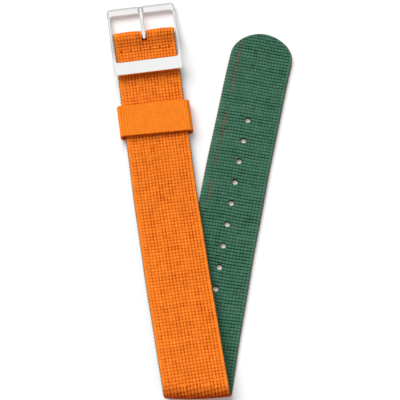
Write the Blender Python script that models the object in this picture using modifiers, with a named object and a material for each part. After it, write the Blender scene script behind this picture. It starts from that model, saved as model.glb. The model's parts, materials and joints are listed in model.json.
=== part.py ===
# Watch strap: one length of double-faced webbing folded in two, with a polished
# tang buckle on a spring bar and one woven keeper loop. Metres, +Z up.
# The strap lies on its fold and tail, orange face of the upper leg upward,
# +Y from the fold to the two ends, the origin under the middle of its outline.
import math

import bpy
import bmesh
from mathutils import Matrix, Vector

# Webbing
WEBBING_WIDTH = 0.0200
WEBBING_THICKNESS = 0.0012
LEG_LEAN = math.radians(8.93)       # each leg from the square of the fold
TAIL_BOW_RADIUS = 1.572             # both legs lie in a faint sideways bow
HEAD_BOW_RADIUS = 2.336
HEAD_BOW_LENGTH = 0.085             # from here to the buckle the head is straight
REST_GAP = 0.0003                   # between pieces that lie on each other

# Fold
FOLD_RADIUS = 0.0030                # to the outer face
FOLD_HINGES = 6
RAMP_SLOPE = math.radians(3.3)      # the upper leg comes down at this angle
RAMP_BLEND_RADIUS = 0.120
FOLD_ROWS = 4
RAMP_ROWS = 6
SLANT_STEPS = 4                     # rounds that settle a row parallel to the fold

# Tail, measured along the strap from the crown of the fold
TAIL_LENGTH = 0.1222
TIP_LENGTH = 0.0087                 # rounded part of the tip
TIP_SEGMENTS = 20
FIRST_HOLE = 0.0356                 # hole nearest the fold
HOLE_PITCH = 0.00705
HOLE_COUNT = 9
HOLE_RADIUS = 0.00095
HOLE_SEGMENTS = 20

# Head, measured along the strap from the crown of the fold
BAR_PLACE = 0.1203
LOOP_WIDTH = 0.0196                 # webbing drawn in where it enters the buckle
DRAW_IN_LENGTH = 0.006
LOOP_CLEARANCE = 0.00025            # round the spring bar
LOOP_OPENING = 0.0040               # from the bar back to where the two layers part
FLAP_LENGTH = 0.0088                # turned under, from the bar to its cut end
LOOP_LEAVE = math.radians(115)      # where the upper layer leaves the bar's circle
SEAM_PLACE = 0.0045                 # stitch row, back from the bar
SEAM_GROOVE_DEPTH = 0.00045         # the thread pulls the webbing down
SEAM_STITCHES = 5
SEAM_MARGIN = 0.0020                # from the webbing's edge to the first stitch
STITCH_RISE = 0.00025               # top of a stitch over its dip
THREAD_RADIUS = 0.00015
THREAD_SEAT = 0.0001                # thread to the floor of its groove
STITCH_SHARES = (0, 0.8, 1, 1, 0.8)  # height of the thread through one stitch
LOOP_ROWS = 14
LEAVE_ROWS = 5
BLEND_ROWS = 4

# Spring bar
BAR_RADIUS = 0.00065
BAR_BORE = 0.00045
BAR_LIP_RADIUS = 0.00036            # crimped end that holds the tip in
BAR_LIP_LENGTH = 0.0005
BAR_CHAMFER = 0.0001
BAR_END_GAP = 0.0003                # tube end to the side of the frame
TIP_PIN_RADIUS = 0.00030
TIP_SHOULDER_RADIUS = 0.00040
TIP_SHOULDER_LENGTH = 0.0012
TIP_CHAMFER = 0.00008
TIP_REACH = 0.00075                 # into the side of the frame
TIP_SHOULDER_GAP = 0.00008
SPRING_WIRE_RADIUS = 0.00006
SPRING_RADIUS = 0.00033
SPRING_TURNS = 20
SPRING_END_GAP = 0.0001
TURN_POINTS = 8
TURNED_STEPS = 24

# Buckle frame
WINDOW_WIDTH = 0.0203
SIDE_WALL = 0.00085
WINDOW_CORNER = 0.0011
FRAME_CORNER = 0.0007
FRONT_BAR_INNER = 0.0084            # from the spring bar forward
FRONT_BAR_LENGTH = 0.0025
FRONT_BAR_HEIGHT = 0.0022
REAR_BAR_INNER = 0.0092             # from the spring bar back
REAR_BAR_LENGTH = 0.0040
REAR_BAR_HEIGHT = 0.0011
SIDE_HEIGHT = 0.0021
SIDE_RISE_START = 0.0020            # the side starts to climb this far ahead of the bar
FRAME_EDGE = 0.00028
FRAME_STATIONS = 12
PIN_CLEARANCE = 0.00008
GROOVE_DEPTH = 0.0005
GROOVE_RADIUS = 0.0011

# Tang
TANG_WIDTH = 0.0011
TANG_TIP_WIDTH = 0.0008
TANG_THICKNESS = 0.0006
TANG_CLEARANCE = 0.0002
TANG_END_SETBACK = 0.0008           # from the front of the frame
TANG_FLAT = 0.0022                  # straight part that lies in the groove
TANG_ROLL = math.radians(288)
TANG_TAPER = 0.0030
TANG_EDGE = 0.00012
TANG_SLOT_WIDTH = 0.0016
ROLL_ROWS = 16
SHANK_ROWS = 8

# Keeper
KEEPER_PLACE = 0.09065              # its middle
KEEPER_LENGTH = 0.0099
KEEPER_WALL = 0.0010
KEEPER_SIDE_CLEARANCE = 0.00055
KEEPER_UNDER_GAP = 0.0005
KEEPER_CORNER = 0.0014
KEEPER_SEAM = 0.0003                # its two ends meet underneath
KEEPER_STITCHES = 9
KEEPER_STITCH_SPAN = 0.0024
KEEPER_THREAD_RADIUS = 0.00012
CORNER_SEGMENTS = 5

CUT_OVERRUN = 0.0020
WELD_DISTANCE = 0.000005

# Worked out from the sizes above
MID_RADIUS = FOLD_RADIUS - WEBBING_THICKNESS / 2
HALF_WRAP = MID_RADIUS * math.pi / 2
FOLD_ANGLE = math.pi + RAMP_SLOPE
LIFT = WEBBING_THICKNESS + REST_GAP              # underside of the head on its flap
HEAD_MID = LIFT + WEBBING_THICKNESS / 2
HEAD_TOP = LIFT + WEBBING_THICKNESS
RAMP_DROP = (FOLD_RADIUS + MID_RADIUS * math.cos(RAMP_SLOPE)
             - RAMP_BLEND_RADIUS * (1 - math.cos(RAMP_SLOPE)) - HEAD_MID)
RAMP_LENGTH = RAMP_DROP / math.sin(RAMP_SLOPE)
RAMP_START = MID_RADIUS * (FOLD_ANGLE - math.pi / 2)
FLAT_START = RAMP_START + RAMP_LENGTH + RAMP_BLEND_RADIUS * RAMP_SLOPE
LOOP_MID_RADIUS = BAR_RADIUS + LOOP_CLEARANCE + WEBBING_THICKNESS / 2
BAR_HEIGHT = LOOP_MID_RADIUS + WEBBING_THICKNESS / 2
FRAME_WIDTH = WINDOW_WIDTH + 2 * SIDE_WALL
FRONT_END = FRONT_BAR_INNER + FRONT_BAR_LENGTH
REAR_END = REAR_BAR_INNER + REAR_BAR_LENGTH
REAR_BAR_UNDER = HEAD_TOP + WEBBING_THICKNESS + REST_GAP
BAR_HALF = WINDOW_WIDTH / 2 - BAR_END_GAP
EYE_MID_RADIUS = BAR_RADIUS + TANG_CLEARANCE + TANG_THICKNESS / 2
EYE_OUTER = EYE_MID_RADIUS + TANG_THICKNESS / 2
SLOT_BACK = EYE_OUTER + REST_GAP
KEEPER_TOP = HEAD_TOP + WEBBING_THICKNESS + REST_GAP
GREEN = (0.041, 0.130, 0.078, 1.0)
ORANGE = (0.855, 0.184, 0.0144, 1.0)
DEEP_ORANGE = (0.62, 0.107, 0.014, 1.0)
THREAD = (0.95, 0.30, 0.03, 1.0)
STEEL = (0.78, 0.78, 0.79, 1.0)
DARK_STEEL = (0.45, 0.45, 0.46, 1.0)


def clear_scene():
    for obj in list(bpy.data.objects):
        bpy.data.objects.remove(obj, do_unlink=True)


def new_collection(name):
    group = bpy.data.collections.new(name)
    bpy.context.scene.collection.children.link(group)
    return group


def finish_material(obj, colour, roughness, metallic):
    mat = bpy.data.materials.new(obj.name)
    mat.use_nodes = True
    shader = mat.node_tree.nodes["Principled BSDF"]
    shader.inputs["Base Color"].default_value = colour
    shader.inputs["Roughness"].default_value = roughness
    shader.inputs["Metallic"].default_value = metallic
    obj.data.materials.clear()
    obj.data.materials.append(mat)


def add_empty(name, place, parent=None, turn=0.0):
    empty = bpy.data.objects.new(name, None)
    empty.empty_display_size = WEBBING_WIDTH / 4
    empty.location = place
    empty.rotation_euler = (0, 0, turn)
    empty.parent = parent
    strap.objects.link(empty)
    return empty


def add_mesh(name, mesh, parent, group=None):
    obj = bpy.data.objects.new(name, mesh)
    obj.parent = parent
    (group or strap).objects.link(obj)
    return obj


def hide_cutter(obj):
    obj.hide_render = True
    obj.display_type = 'WIRE'
    return obj


def cut(obj, cutter, operation='DIFFERENCE'):
    mod = obj.modifiers.new(cutter.name, 'BOOLEAN')
    mod.operation = operation
    mod.solver = 'EXACT'
    mod.object = cutter


def soften(obj, width, segments=2):
    mod = obj.modifiers.new("edges", 'BEVEL')
    mod.width = width
    mod.segments = segments
    mod.limit_method = 'ANGLE'
    mod.angle_limit = math.radians(50)


def box_cutter(name, low, high, parent):
    mesh = bpy.data.meshes.new(name)
    bm = bmesh.new()
    bmesh.ops.create_cube(bm, size=1.0)
    size = Vector(high) - Vector(low)
    middle = (Vector(high) + Vector(low)) / 2
    bmesh.ops.scale(bm, vec=size, verts=bm.verts)
    bmesh.ops.translate(bm, vec=middle, verts=bm.verts)
    bm.to_mesh(mesh)
    bm.free()
    return hide_cutter(add_mesh(name, mesh, parent, cutters))


def rod_cutter(name, radius, length, parent, place, turn):
    mesh = bpy.data.meshes.new(name)
    bm = bmesh.new()
    bmesh.ops.create_cone(bm, cap_ends=True, segments=TURNED_STEPS, radius1=radius,
                          radius2=radius, depth=length)
    bm.to_mesh(mesh)
    bm.free()
    obj = hide_cutter(add_mesh(name, mesh, parent, cutters))
    obj.location = place
    obj.rotation_euler = turn
    return obj


def outline_mesh(name, loops, half_depth):
    """A flat outline, with its holes, thickened both ways from its own plane."""
    curve = bpy.data.curves.new(name, 'CURVE')
    curve.dimensions = '2D'
    curve.fill_mode = 'BOTH'
    curve.extrude = half_depth
    for loop in loops:
        spline = curve.splines.new('POLY')
        spline.points.add(len(loop) - 1)
        for point, (x, y) in zip(spline.points, loop):
            point.co = (x, y, 0, 1)
        spline.use_cyclic_u = True
    holder = bpy.data.objects.new(name, curve)
    bpy.context.scene.collection.objects.link(holder)
    bpy.context.view_layer.update()
    evaluated = holder.evaluated_get(bpy.context.evaluated_depsgraph_get())
    mesh = bpy.data.meshes.new_from_object(evaluated)
    bpy.data.objects.remove(holder)
    bpy.data.curves.remove(curve)
    bm = bmesh.new()
    bm.from_mesh(mesh)
    bmesh.ops.remove_doubles(bm, verts=bm.verts, dist=WELD_DISTANCE)
    bmesh.ops.recalc_face_normals(bm, faces=bm.faces)
    bm.to_mesh(mesh)
    bm.free()
    mesh.name = name
    return mesh


def strip_mesh(name, rows):
    """An open strip of faces through rows of points, for Solidify to thicken."""
    mesh = bpy.data.meshes.new(name)
    bm = bmesh.new()
    grid = [[bm.verts.new(point) for point in row] for row in rows]
    for first, second in zip(grid, grid[1:]):
        for i in range(len(first) - 1):
            bm.faces.new((first[i], first[i + 1], second[i + 1], second[i]))
    bmesh.ops.recalc_face_normals(bm, faces=bm.faces)
    bm.to_mesh(mesh)
    bm.free()
    return mesh


def thicken(obj, thickness):
    mod = obj.modifiers.new("thickness", 'SOLIDIFY')
    mod.thickness = thickness
    mod.offset = 0.0
    mod.use_even_offset = True


def turned_object(name, profile, parent, closed):
    """A turned piece: a profile of radius and height pairs about its own Z."""
    mesh = bpy.data.meshes.new(name)
    bm = bmesh.new()
    points = [bm.verts.new((radius, 0, height)) for radius, height in profile]
    for first, second in zip(points, points[1:]):
        bm.edges.new((first, second))
    if closed:
        bm.edges.new((points[-1], points[0]))
    bm.to_mesh(mesh)
    bm.free()
    obj = add_mesh(name, mesh, parent)
    mod = obj.modifiers.new("turn", 'SCREW')
    mod.steps = TURNED_STEPS
    mod.render_steps = TURNED_STEPS
    mod.use_merge_vertices = True
    mod.merge_threshold = WELD_DISTANCE
    mod.use_smooth_shade = True
    return obj


def tube_mesh(name, path, radius, resolution):
    """Round wire or thread along a path, its ends closed."""
    curve = bpy.data.curves.new(name, 'CURVE')
    curve.dimensions = '3D'
    curve.bevel_depth = radius
    curve.bevel_resolution = resolution
    curve.use_fill_caps = True
    spline = curve.splines.new('POLY')
    spline.points.add(len(path) - 1)
    for point, place in zip(spline.points, path):
        point.co = (*place, 1)
    holder = bpy.data.objects.new(name, curve)
    bpy.context.scene.collection.objects.link(holder)
    bpy.context.view_layer.update()
    evaluated = holder.evaluated_get(bpy.context.evaluated_depsgraph_get())
    mesh = bpy.data.meshes.new_from_object(evaluated)
    bpy.data.objects.remove(holder)
    bpy.data.curves.remove(curve)
    bm = bmesh.new()
    bm.from_mesh(mesh)
    bmesh.ops.remove_doubles(bm, verts=bm.verts, dist=WELD_DISTANCE)
    bmesh.ops.recalc_face_normals(bm, faces=bm.faces)
    bm.to_mesh(mesh)
    bm.free()
    mesh.shade_smooth()
    mesh.name = name
    return mesh


def bowed(along, across, bow_radius, bow_length):
    """Distances along and across the strap, laid out on its sideways bow."""
    bend = min(along, bow_length) / bow_radius
    past = max(along - bow_length, 0)
    side = bow_radius * (1 - math.cos(bend)) + past * math.sin(bend) + across * math.cos(bend)
    run = bow_radius * math.sin(bend) + past * math.cos(bend) - across * math.sin(bend)
    return run, side


def head_plan(along, across):
    """Wrap distance and X of a point of the head leg."""
    run, side = bowed(along, across, HEAD_BOW_RADIUS, HEAD_BOW_LENGTH)
    wrap = run * math.cos(LEG_LEAN) + side * math.sin(LEG_LEAN)
    return wrap, side * math.cos(LEG_LEAN) - run * math.sin(LEG_LEAN)


def tail_plan(along, across):
    """X and Y of a point of the tail, which lies flat."""
    run, side = bowed(along, across, TAIL_BOW_RADIUS, TAIL_LENGTH)
    wrap = side * math.sin(LEG_LEAN) - run * math.cos(LEG_LEAN)
    return side * math.cos(LEG_LEAN) + run * math.sin(LEG_LEAN), -wrap - HALF_WRAP


def side_profile(wrap):
    """Y and Z of the webbing's middle layer at a wrap distance from the crown."""
    if wrap <= RAMP_START:
        turn = wrap / MID_RADIUS + math.pi / 2
        return -MID_RADIUS * math.sin(turn), FOLD_RADIUS - MID_RADIUS * math.cos(turn)
    y = MID_RADIUS * math.sin(RAMP_SLOPE)
    z = FOLD_RADIUS + MID_RADIUS * math.cos(RAMP_SLOPE)
    on_ramp = min(wrap - RAMP_START, RAMP_LENGTH)
    y += on_ramp * math.cos(RAMP_SLOPE)
    z -= on_ramp * math.sin(RAMP_SLOPE)
    on_blend = min(max(wrap - RAMP_START - RAMP_LENGTH, 0), RAMP_BLEND_RADIUS * RAMP_SLOPE)
    left = RAMP_SLOPE - on_blend / RAMP_BLEND_RADIUS
    y += RAMP_BLEND_RADIUS * (math.sin(RAMP_SLOPE) - math.sin(left))
    z -= RAMP_BLEND_RADIUS * (math.cos(left) - math.cos(RAMP_SLOPE))
    return y + max(wrap - FLAT_START, 0), z


def slanted_row(wrap):
    """The two edge points of the webbing on a line parallel to the fold."""
    row = []
    for across in (-WEBBING_WIDTH / 2, WEBBING_WIDTH / 2):
        along = (wrap - across * math.sin(LEG_LEAN)) / math.cos(LEG_LEAN)
        for _ in range(SLANT_STEPS):
            along += (wrap - head_plan(max(along, 0), across)[0]
                      if along > 0 else 0) / math.cos(LEG_LEAN)
        if along > 0:
            x = head_plan(along, across)[1]
        else:
            x = across * math.cos(LEG_LEAN) - along * math.sin(LEG_LEAN)
        row.append(Vector((x, *side_profile(wrap))))
    return row


def half_width(along):
    """Half the webbing's width, drawn in a little before the buckle."""
    drawn = BAR_PLACE - FLAP_LENGTH - along
    share = min(max(1 - drawn / DRAW_IN_LENGTH, 0), 1)
    return (WEBBING_WIDTH + (LOOP_WIDTH - WEBBING_WIDTH) * share) / 2


def square_row(along, height, half):
    row = []
    for across in (-half, half):
        wrap, x = head_plan(along, across)
        row.append(Vector((x, side_profile(wrap)[0], height)))
    return row


def hermite(start, start_tangent, end, end_tangent, count):
    """Points of a smooth curve between two places with given tangents."""
    points = []
    for i in range(1, count):
        t = i / count
        a = 2 * t ** 3 - 3 * t ** 2 + 1
        b = t ** 3 - 2 * t ** 2 + t
        c = 3 * t ** 2 - 2 * t ** 3
        d = t ** 3 - t ** 2
        points.append(tuple(a * p + b * u + c * q + d * v for p, u, q, v
                            in zip(start, start_tangent, end, end_tangent)))
    return points


def loop_path():
    """Distance along the strap and height, round the bar to the flap's cut end."""
    start = (BAR_PLACE - LOOP_OPENING, HEAD_MID)
    leave = (BAR_PLACE + LOOP_MID_RADIUS * math.cos(LOOP_LEAVE),
             BAR_HEIGHT + LOOP_MID_RADIUS * math.sin(LOOP_LEAVE))
    reach = leave[0] - start[0]
    points = [start]
    points += hermite(start, (reach, 0), leave,
                      (reach * math.sin(LOOP_LEAVE), -reach * math.cos(LOOP_LEAVE)), LEAVE_ROWS)
    for i in range(LOOP_ROWS + 1):
        turn = LOOP_LEAVE - (LOOP_LEAVE + math.pi / 2) * i / LOOP_ROWS
        points.append((BAR_PLACE + LOOP_MID_RADIUS * math.cos(turn),
                       BAR_HEIGHT + LOOP_MID_RADIUS * math.sin(turn)))
    points.append((BAR_PLACE - LOOP_OPENING, WEBBING_THICKNESS / 2))
    points.append((BAR_PLACE - FLAP_LENGTH, WEBBING_THICKNESS / 2))
    return points


def fold_pivot(number):
    """Hinge line between two lengths of the fold, on the outer face of the webbing."""
    turn = FOLD_ANGLE * (number - 1) / (FOLD_HINGES - 1)
    return Vector((0, -FOLD_RADIUS * math.sin(turn), FOLD_RADIUS - FOLD_RADIUS * math.cos(turn)))


def tail_outline():
    half = WEBBING_WIDTH / 2
    straight = TAIL_LENGTH - TIP_LENGTH
    steps = FOLD_HINGES
    sides = []
    for across in (-half, half):
        start = (HALF_WRAP + REST_GAP / 2 + across * math.sin(LEG_LEAN)) / math.cos(LEG_LEAN)
        sides.append([tail_plan(start + (straight - start) * i / steps, across)
                      for i in range(steps)])
    tip = []
    for i in range(TIP_SEGMENTS + 1):
        turn = math.pi * (i / TIP_SEGMENTS - 1 / 2)
        tip.append(tail_plan(straight + TIP_LENGTH * math.cos(turn), half * math.sin(turn)))
    return sides[0] + tip + sides[1][::-1]


def make_tail(base):
    holes = []
    for i in range(HOLE_COUNT):
        place = FIRST_HOLE + HOLE_PITCH * i
        ring = []
        for k in range(HOLE_SEGMENTS):
            turn = 2 * math.pi * k / HOLE_SEGMENTS
            ring.append(tail_plan(place + HOLE_RADIUS * math.cos(turn), HOLE_RADIUS * math.sin(turn)))
        holes.append(ring)
    mesh = outline_mesh("tail_webbing", [tail_outline()] + holes, WEBBING_THICKNESS / 2)
    obj = add_mesh("tail_webbing", mesh, base)
    obj.location = (0, 0, WEBBING_THICKNESS / 2)
    finish_material(obj, GREEN, 0.85, 0.0)


def make_fold(base):
    """The lengths of webbing that roll off each other when the strap is opened out."""
    step = MID_RADIUS * FOLD_ANGLE / (FOLD_HINGES - 1)
    for number in range(1, FOLD_HINGES):
        low = -HALF_WRAP + step * (number - 1) + REST_GAP / 2
        high = low + step - REST_GAP
        pivot = fold_pivot(number)
        rows = []
        for i in range(FOLD_ROWS + 1):
            row = slanted_row(low + (high - low) * i / FOLD_ROWS)
            rows.append([point - pivot for point in row])
        name = "fold_webbing_%d" % number
        obj = add_mesh(name, strip_mesh(name, rows), base)
        obj.location = pivot
        thicken(obj, WEBBING_THICKNESS)
        finish_material(obj, DEEP_ORANGE, 0.85, 0.0)


def add_webbing(name, rows, base):
    """A length of the upper leg, its origin on the last hinge line of the fold."""
    pivot = fold_pivot(FOLD_HINGES)
    moved = [[point - pivot for point in row] for row in rows]
    obj = add_mesh(name, strip_mesh(name, moved), base)
    obj.location = pivot
    thicken(obj, WEBBING_THICKNESS)
    finish_material(obj, ORANGE, 0.85, 0.0)
    return obj


def make_head(base):
    rows = [slanted_row(RAMP_START + REST_GAP / 2)]
    rows += [slanted_row(RAMP_START + RAMP_LENGTH * (i + 1) / RAMP_ROWS) for i in range(RAMP_ROWS)]
    ramp_end = RAMP_START + RAMP_LENGTH
    blend = FLAT_START - ramp_end
    rows += [slanted_row(ramp_end + blend * (i + 1) / BLEND_ROWS) for i in range(BLEND_ROWS)]
    loop_start = BAR_PLACE - FLAP_LENGTH
    for along in (HEAD_BOW_LENGTH, loop_start - DRAW_IN_LENGTH, loop_start - REST_GAP):
        rows.append(square_row(along, HEAD_MID, half_width(along)))
    add_webbing("head_webbing", rows, base)


def make_loop(base, bar_axis):
    """The end of the webbing, turned round the spring bar and back under itself."""
    path = [(BAR_PLACE - FLAP_LENGTH, HEAD_MID)] + loop_path()
    rows = [square_row(along, height, LOOP_WIDTH / 2) for along, height in path]
    obj = add_webbing("loop_webbing", rows, base)
    half_slot = TANG_SLOT_WIDTH / 2
    reach = LOOP_MID_RADIUS + WEBBING_THICKNESS
    cut(obj, box_cutter("tang_slot", (-half_slot, -SLOT_BACK, -reach),
                        (half_slot, reach, reach + CUT_OVERRUN), bar_axis))
    groove_half = THREAD_RADIUS + SEAM_GROOVE_DEPTH / 2
    groove_floor = HEAD_TOP - SEAM_GROOVE_DEPTH - BAR_HEIGHT
    cut(obj, box_cutter("seam_groove", (-WEBBING_WIDTH, -SEAM_PLACE - groove_half, groove_floor),
                        (WEBBING_WIDTH, -SEAM_PLACE + groove_half, groove_floor + CUT_OVERRUN),
                        bar_axis))


def make_seam(bar_axis):
    """The stitch row that holds the turned-under flap: one thread, over and down."""
    usable = LOOP_WIDTH - 2 * SEAM_MARGIN
    pitch = usable / SEAM_STITCHES
    low = HEAD_TOP - SEAM_GROOVE_DEPTH + THREAD_SEAT + THREAD_RADIUS - BAR_HEIGHT
    path = []
    for i in range(SEAM_STITCHES):
        for k, share in enumerate(STITCH_SHARES):
            left = pitch * (i + k / len(STITCH_SHARES)) - usable / 2
            path.append((left, -SEAM_PLACE, low + STITCH_RISE * share))
    path.append((usable / 2, -SEAM_PLACE, low))
    obj = add_mesh("loop_stitching", tube_mesh("loop_stitching", path, THREAD_RADIUS, 1), bar_axis)
    finish_material(obj, THREAD, 0.7, 0.0)


def frame_side(forward):
    """Middle height and half height of the frame's side, forward of the spring bar."""
    front_mid = FRONT_BAR_HEIGHT / 2
    rear_mid = REAR_BAR_UNDER + REAR_BAR_HEIGHT / 2
    climb = (SIDE_RISE_START - forward) / (SIDE_RISE_START + REAR_BAR_INNER)
    share = min(max(climb, 0), 1)
    eased = share * share * (3 - 2 * share)
    low_mid = front_mid + (BAR_HEIGHT - front_mid) * min(max(1 - forward / FRONT_BAR_INNER, 0), 1)
    middle = low_mid + (rear_mid - low_mid) * eased
    half = (SIDE_HEIGHT + (REAR_BAR_HEIGHT - SIDE_HEIGHT) * eased) / 2
    return middle - BAR_HEIGHT, half


def frame_outline():
    """Side view of the frame, run past both of its ends for the plan to trim."""
    back, front = -REAR_END - CUT_OVERRUN, FRONT_END + CUT_OVERRUN
    top = [(back, REAR_BAR_UNDER + REAR_BAR_HEIGHT - BAR_HEIGHT)]
    bottom = [(back, REAR_BAR_UNDER - BAR_HEIGHT)]
    for i in range(FRAME_STATIONS + 1):
        forward = -REAR_BAR_INNER + (FRONT_BAR_INNER + REAR_BAR_INNER) * i / FRAME_STATIONS
        middle, half = frame_side(forward)
        if i == FRAME_STATIONS:
            half = FRONT_BAR_HEIGHT / 2
        top.append((forward, middle + half))
        bottom.append((forward, middle - half))
    top.append((front, FRONT_BAR_HEIGHT - BAR_HEIGHT))
    bottom.append((front, -BAR_HEIGHT))
    return bottom + top[::-1]


def rounded_corners(left, right, low, high, radius, segments):
    points = []
    corners = ((right - radius, low + radius, -math.pi / 2), (right - radius, high - radius, 0),
               (left + radius, high - radius, math.pi / 2), (left + radius, low + radius, math.pi))
    for x, y, start in corners:
        for i in range(segments + 1):
            turn = start + math.pi / 2 * i / segments
            points.append((x + radius * math.cos(turn), y + radius * math.sin(turn)))
    return points


def make_frame(bar_axis):
    half = FRAME_WIDTH / 2
    mesh = outline_mesh("buckle_frame", [frame_outline()], half + CUT_OVERRUN)
    mesh.transform(Matrix(((0, 0, 1, 0), (1, 0, 0, 0), (0, 1, 0, 0), (0, 0, 0, 1))))
    obj = add_mesh("buckle_frame", mesh, bar_axis)
    outer = rounded_corners(-half, half, -REAR_END, FRONT_END, FRAME_CORNER, CORNER_SEGMENTS)
    window = rounded_corners(-WINDOW_WIDTH / 2, WINDOW_WIDTH / 2, -REAR_BAR_INNER, FRONT_BAR_INNER,
                             WINDOW_CORNER, CORNER_SEGMENTS)
    tall = REAR_BAR_UNDER + CUT_OVERRUN
    plan = outline_mesh("frame_plan", [outer, window], tall)
    cut(obj, hide_cutter(add_mesh("frame_plan", plan, bar_axis, cutters)), 'INTERSECT')
    soften(obj, FRAME_EDGE)
    across = (0, math.pi / 2, 0)
    cut(obj, rod_cutter("pin_bore", TIP_PIN_RADIUS + PIN_CLEARANCE, FRAME_WIDTH + CUT_OVERRUN,
                        bar_axis, (0, 0, 0), across))
    groove_place = (0, FRONT_BAR_INNER + FRONT_BAR_LENGTH / 2,
                    FRONT_BAR_HEIGHT - BAR_HEIGHT - GROOVE_DEPTH + GROOVE_RADIUS)
    cut(obj, rod_cutter("tang_groove", GROOVE_RADIUS, FRONT_BAR_LENGTH + CUT_OVERRUN,
                        bar_axis, groove_place, (math.pi / 2, 0, 0)))
    finish_material(obj, STEEL, 0.12, 1.0)


def tang_path():
    """Forward and up from the spring bar: along the shank, then round the rolled eye."""
    groove_floor = FRONT_BAR_HEIGHT - BAR_HEIGHT - GROOVE_DEPTH
    tip_height = groove_floor + TANG_CLEARANCE + TANG_THICKNESS / 2
    tip = (FRONT_END - TANG_END_SETBACK, tip_height)
    flat_end = (tip[0] - TANG_FLAT, tip_height)
    reach = flat_end[0]
    top = (0, EYE_MID_RADIUS)
    points = [tip, (tip[0] - TANG_FLAT / 2, tip_height), flat_end]
    points += hermite(flat_end, (-reach, 0), top, (-reach, 0), SHANK_ROWS)
    for i in range(ROLL_ROWS + 1):
        turn = math.pi / 2 + TANG_ROLL * i / ROLL_ROWS
        points.append((EYE_MID_RADIUS * math.cos(turn), EYE_MID_RADIUS * math.sin(turn)))
    return points


def make_tang(bar_axis):
    tip = FRONT_END - TANG_END_SETBACK
    rows = []
    for forward, up in tang_path():
        share = min(max((tip - forward) / TANG_TAPER, 0), 1)
        half = (TANG_TIP_WIDTH + (TANG_WIDTH - TANG_TIP_WIDTH) * share) / 2
        rows.append([Vector((-half, forward, up)), Vector((half, forward, up))])
    obj = add_mesh("buckle_tang", strip_mesh("buckle_tang", rows), bar_axis)
    thicken(obj, TANG_THICKNESS)
    soften(obj, TANG_EDGE, 1)
    finish_material(obj, STEEL, 0.15, 1.0)


def make_spring_bar(bar_axis):
    lip = BAR_HALF - BAR_LIP_LENGTH
    tube = [(BAR_LIP_RADIUS, BAR_HALF), (BAR_RADIUS - BAR_CHAMFER, BAR_HALF),
            (BAR_RADIUS, BAR_HALF - BAR_CHAMFER), (BAR_RADIUS, BAR_CHAMFER - BAR_HALF),
            (BAR_RADIUS - BAR_CHAMFER, -BAR_HALF), (BAR_LIP_RADIUS, -BAR_HALF),
            (BAR_LIP_RADIUS, -lip), (BAR_BORE, -lip), (BAR_BORE, lip), (BAR_LIP_RADIUS, lip)]
    obj = turned_object("spring_bar_tube", tube, bar_axis, True)
    obj.rotation_euler = (0, math.pi / 2, 0)
    finish_material(obj, STEEL, 0.25, 1.0)
    end = WINDOW_WIDTH / 2 + TIP_REACH
    shoulder = lip - TIP_SHOULDER_GAP
    inner = shoulder - TIP_SHOULDER_LENGTH
    pin = [(0, end - inner), (TIP_PIN_RADIUS - TIP_CHAMFER, end - inner),
           (TIP_PIN_RADIUS, end - TIP_CHAMFER - inner), (TIP_PIN_RADIUS, shoulder - inner),
           (TIP_SHOULDER_RADIUS, shoulder - inner), (TIP_SHOULDER_RADIUS, 0), (0, 0)]
    for name, side in (("spring_bar_tip_left", -1), ("spring_bar_tip_right", 1)):
        tip = turned_object(name, pin, bar_axis, False)
        tip.location = (side * inner, 0, 0)
        tip.rotation_euler = (0, side * math.pi / 2, 0)
        finish_material(tip, DARK_STEEL, 0.3, 1.0)
    half = inner - SPRING_END_GAP - SPRING_WIRE_RADIUS
    count = SPRING_TURNS * TURN_POINTS
    path = []
    for i in range(count + 1):
        turn = 2 * math.pi * i / TURN_POINTS
        path.append((half * (2 * i / count - 1), SPRING_RADIUS * math.cos(turn),
                     SPRING_RADIUS * math.sin(turn)))
    pitch_gap = 2 * half / SPRING_TURNS - 2 * SPRING_WIRE_RADIUS
    print("least gap between the spring's turns, in metres: %.5f" % pitch_gap)
    spring = add_mesh("spring_bar_spring", tube_mesh("spring_bar_spring", path,
                                                     SPRING_WIRE_RADIUS, 1), bar_axis)
    finish_material(spring, DARK_STEEL, 0.3, 1.0)


def make_keeper(keeper_axis):
    """A woven band closed round the strap, its ends meeting underneath."""
    inner_half = WEBBING_WIDTH / 2 + KEEPER_SIDE_CLEARANCE
    outer_half = inner_half + KEEPER_WALL
    floor = LIFT - KEEPER_UNDER_GAP
    under = floor - KEEPER_WALL
    inner = rounded_corners(-inner_half, inner_half, floor, KEEPER_TOP,
                            KEEPER_CORNER - KEEPER_WALL, CORNER_SEGMENTS)
    outer = rounded_corners(-outer_half, outer_half, under, KEEPER_TOP + KEEPER_WALL,
                            KEEPER_CORNER, CORNER_SEGMENTS)
    slit = KEEPER_SEAM / 2
    outline = [(slit, under)] + outer + [(-slit, under), (-slit, floor)]
    outline += inner[::-1] + [(slit, floor)]
    mesh = outline_mesh("keeper_loop", [outline], KEEPER_LENGTH / 2)
    mesh.transform(Matrix(((1, 0, 0, 0), (0, 0, -1, 0), (0, 1, 0, 0), (0, 0, 0, 1))))
    obj = add_mesh("keeper_loop", mesh, keeper_axis)
    finish_material(obj, ORANGE, 0.8, 0.0)
    height = floor + KEEPER_UNDER_GAP / 2
    pitch = KEEPER_LENGTH / (KEEPER_STITCHES + 1)
    path = []
    for i in range(KEEPER_STITCHES):
        side = KEEPER_STITCH_SPAN / 2 if i % 2 else -KEEPER_STITCH_SPAN / 2
        path.append((side, pitch * (i + 1) - KEEPER_LENGTH / 2, height))
    thread = add_mesh("keeper_stitching", tube_mesh("keeper_stitching", path,
                                                    KEEPER_THREAD_RADIUS, 1), keeper_axis)
    finish_material(thread, THREAD, 0.7, 0.0)


def head_place(along):
    wrap, x = head_plan(along, 0)
    return Vector((x, side_profile(wrap)[0], 0))


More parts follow.
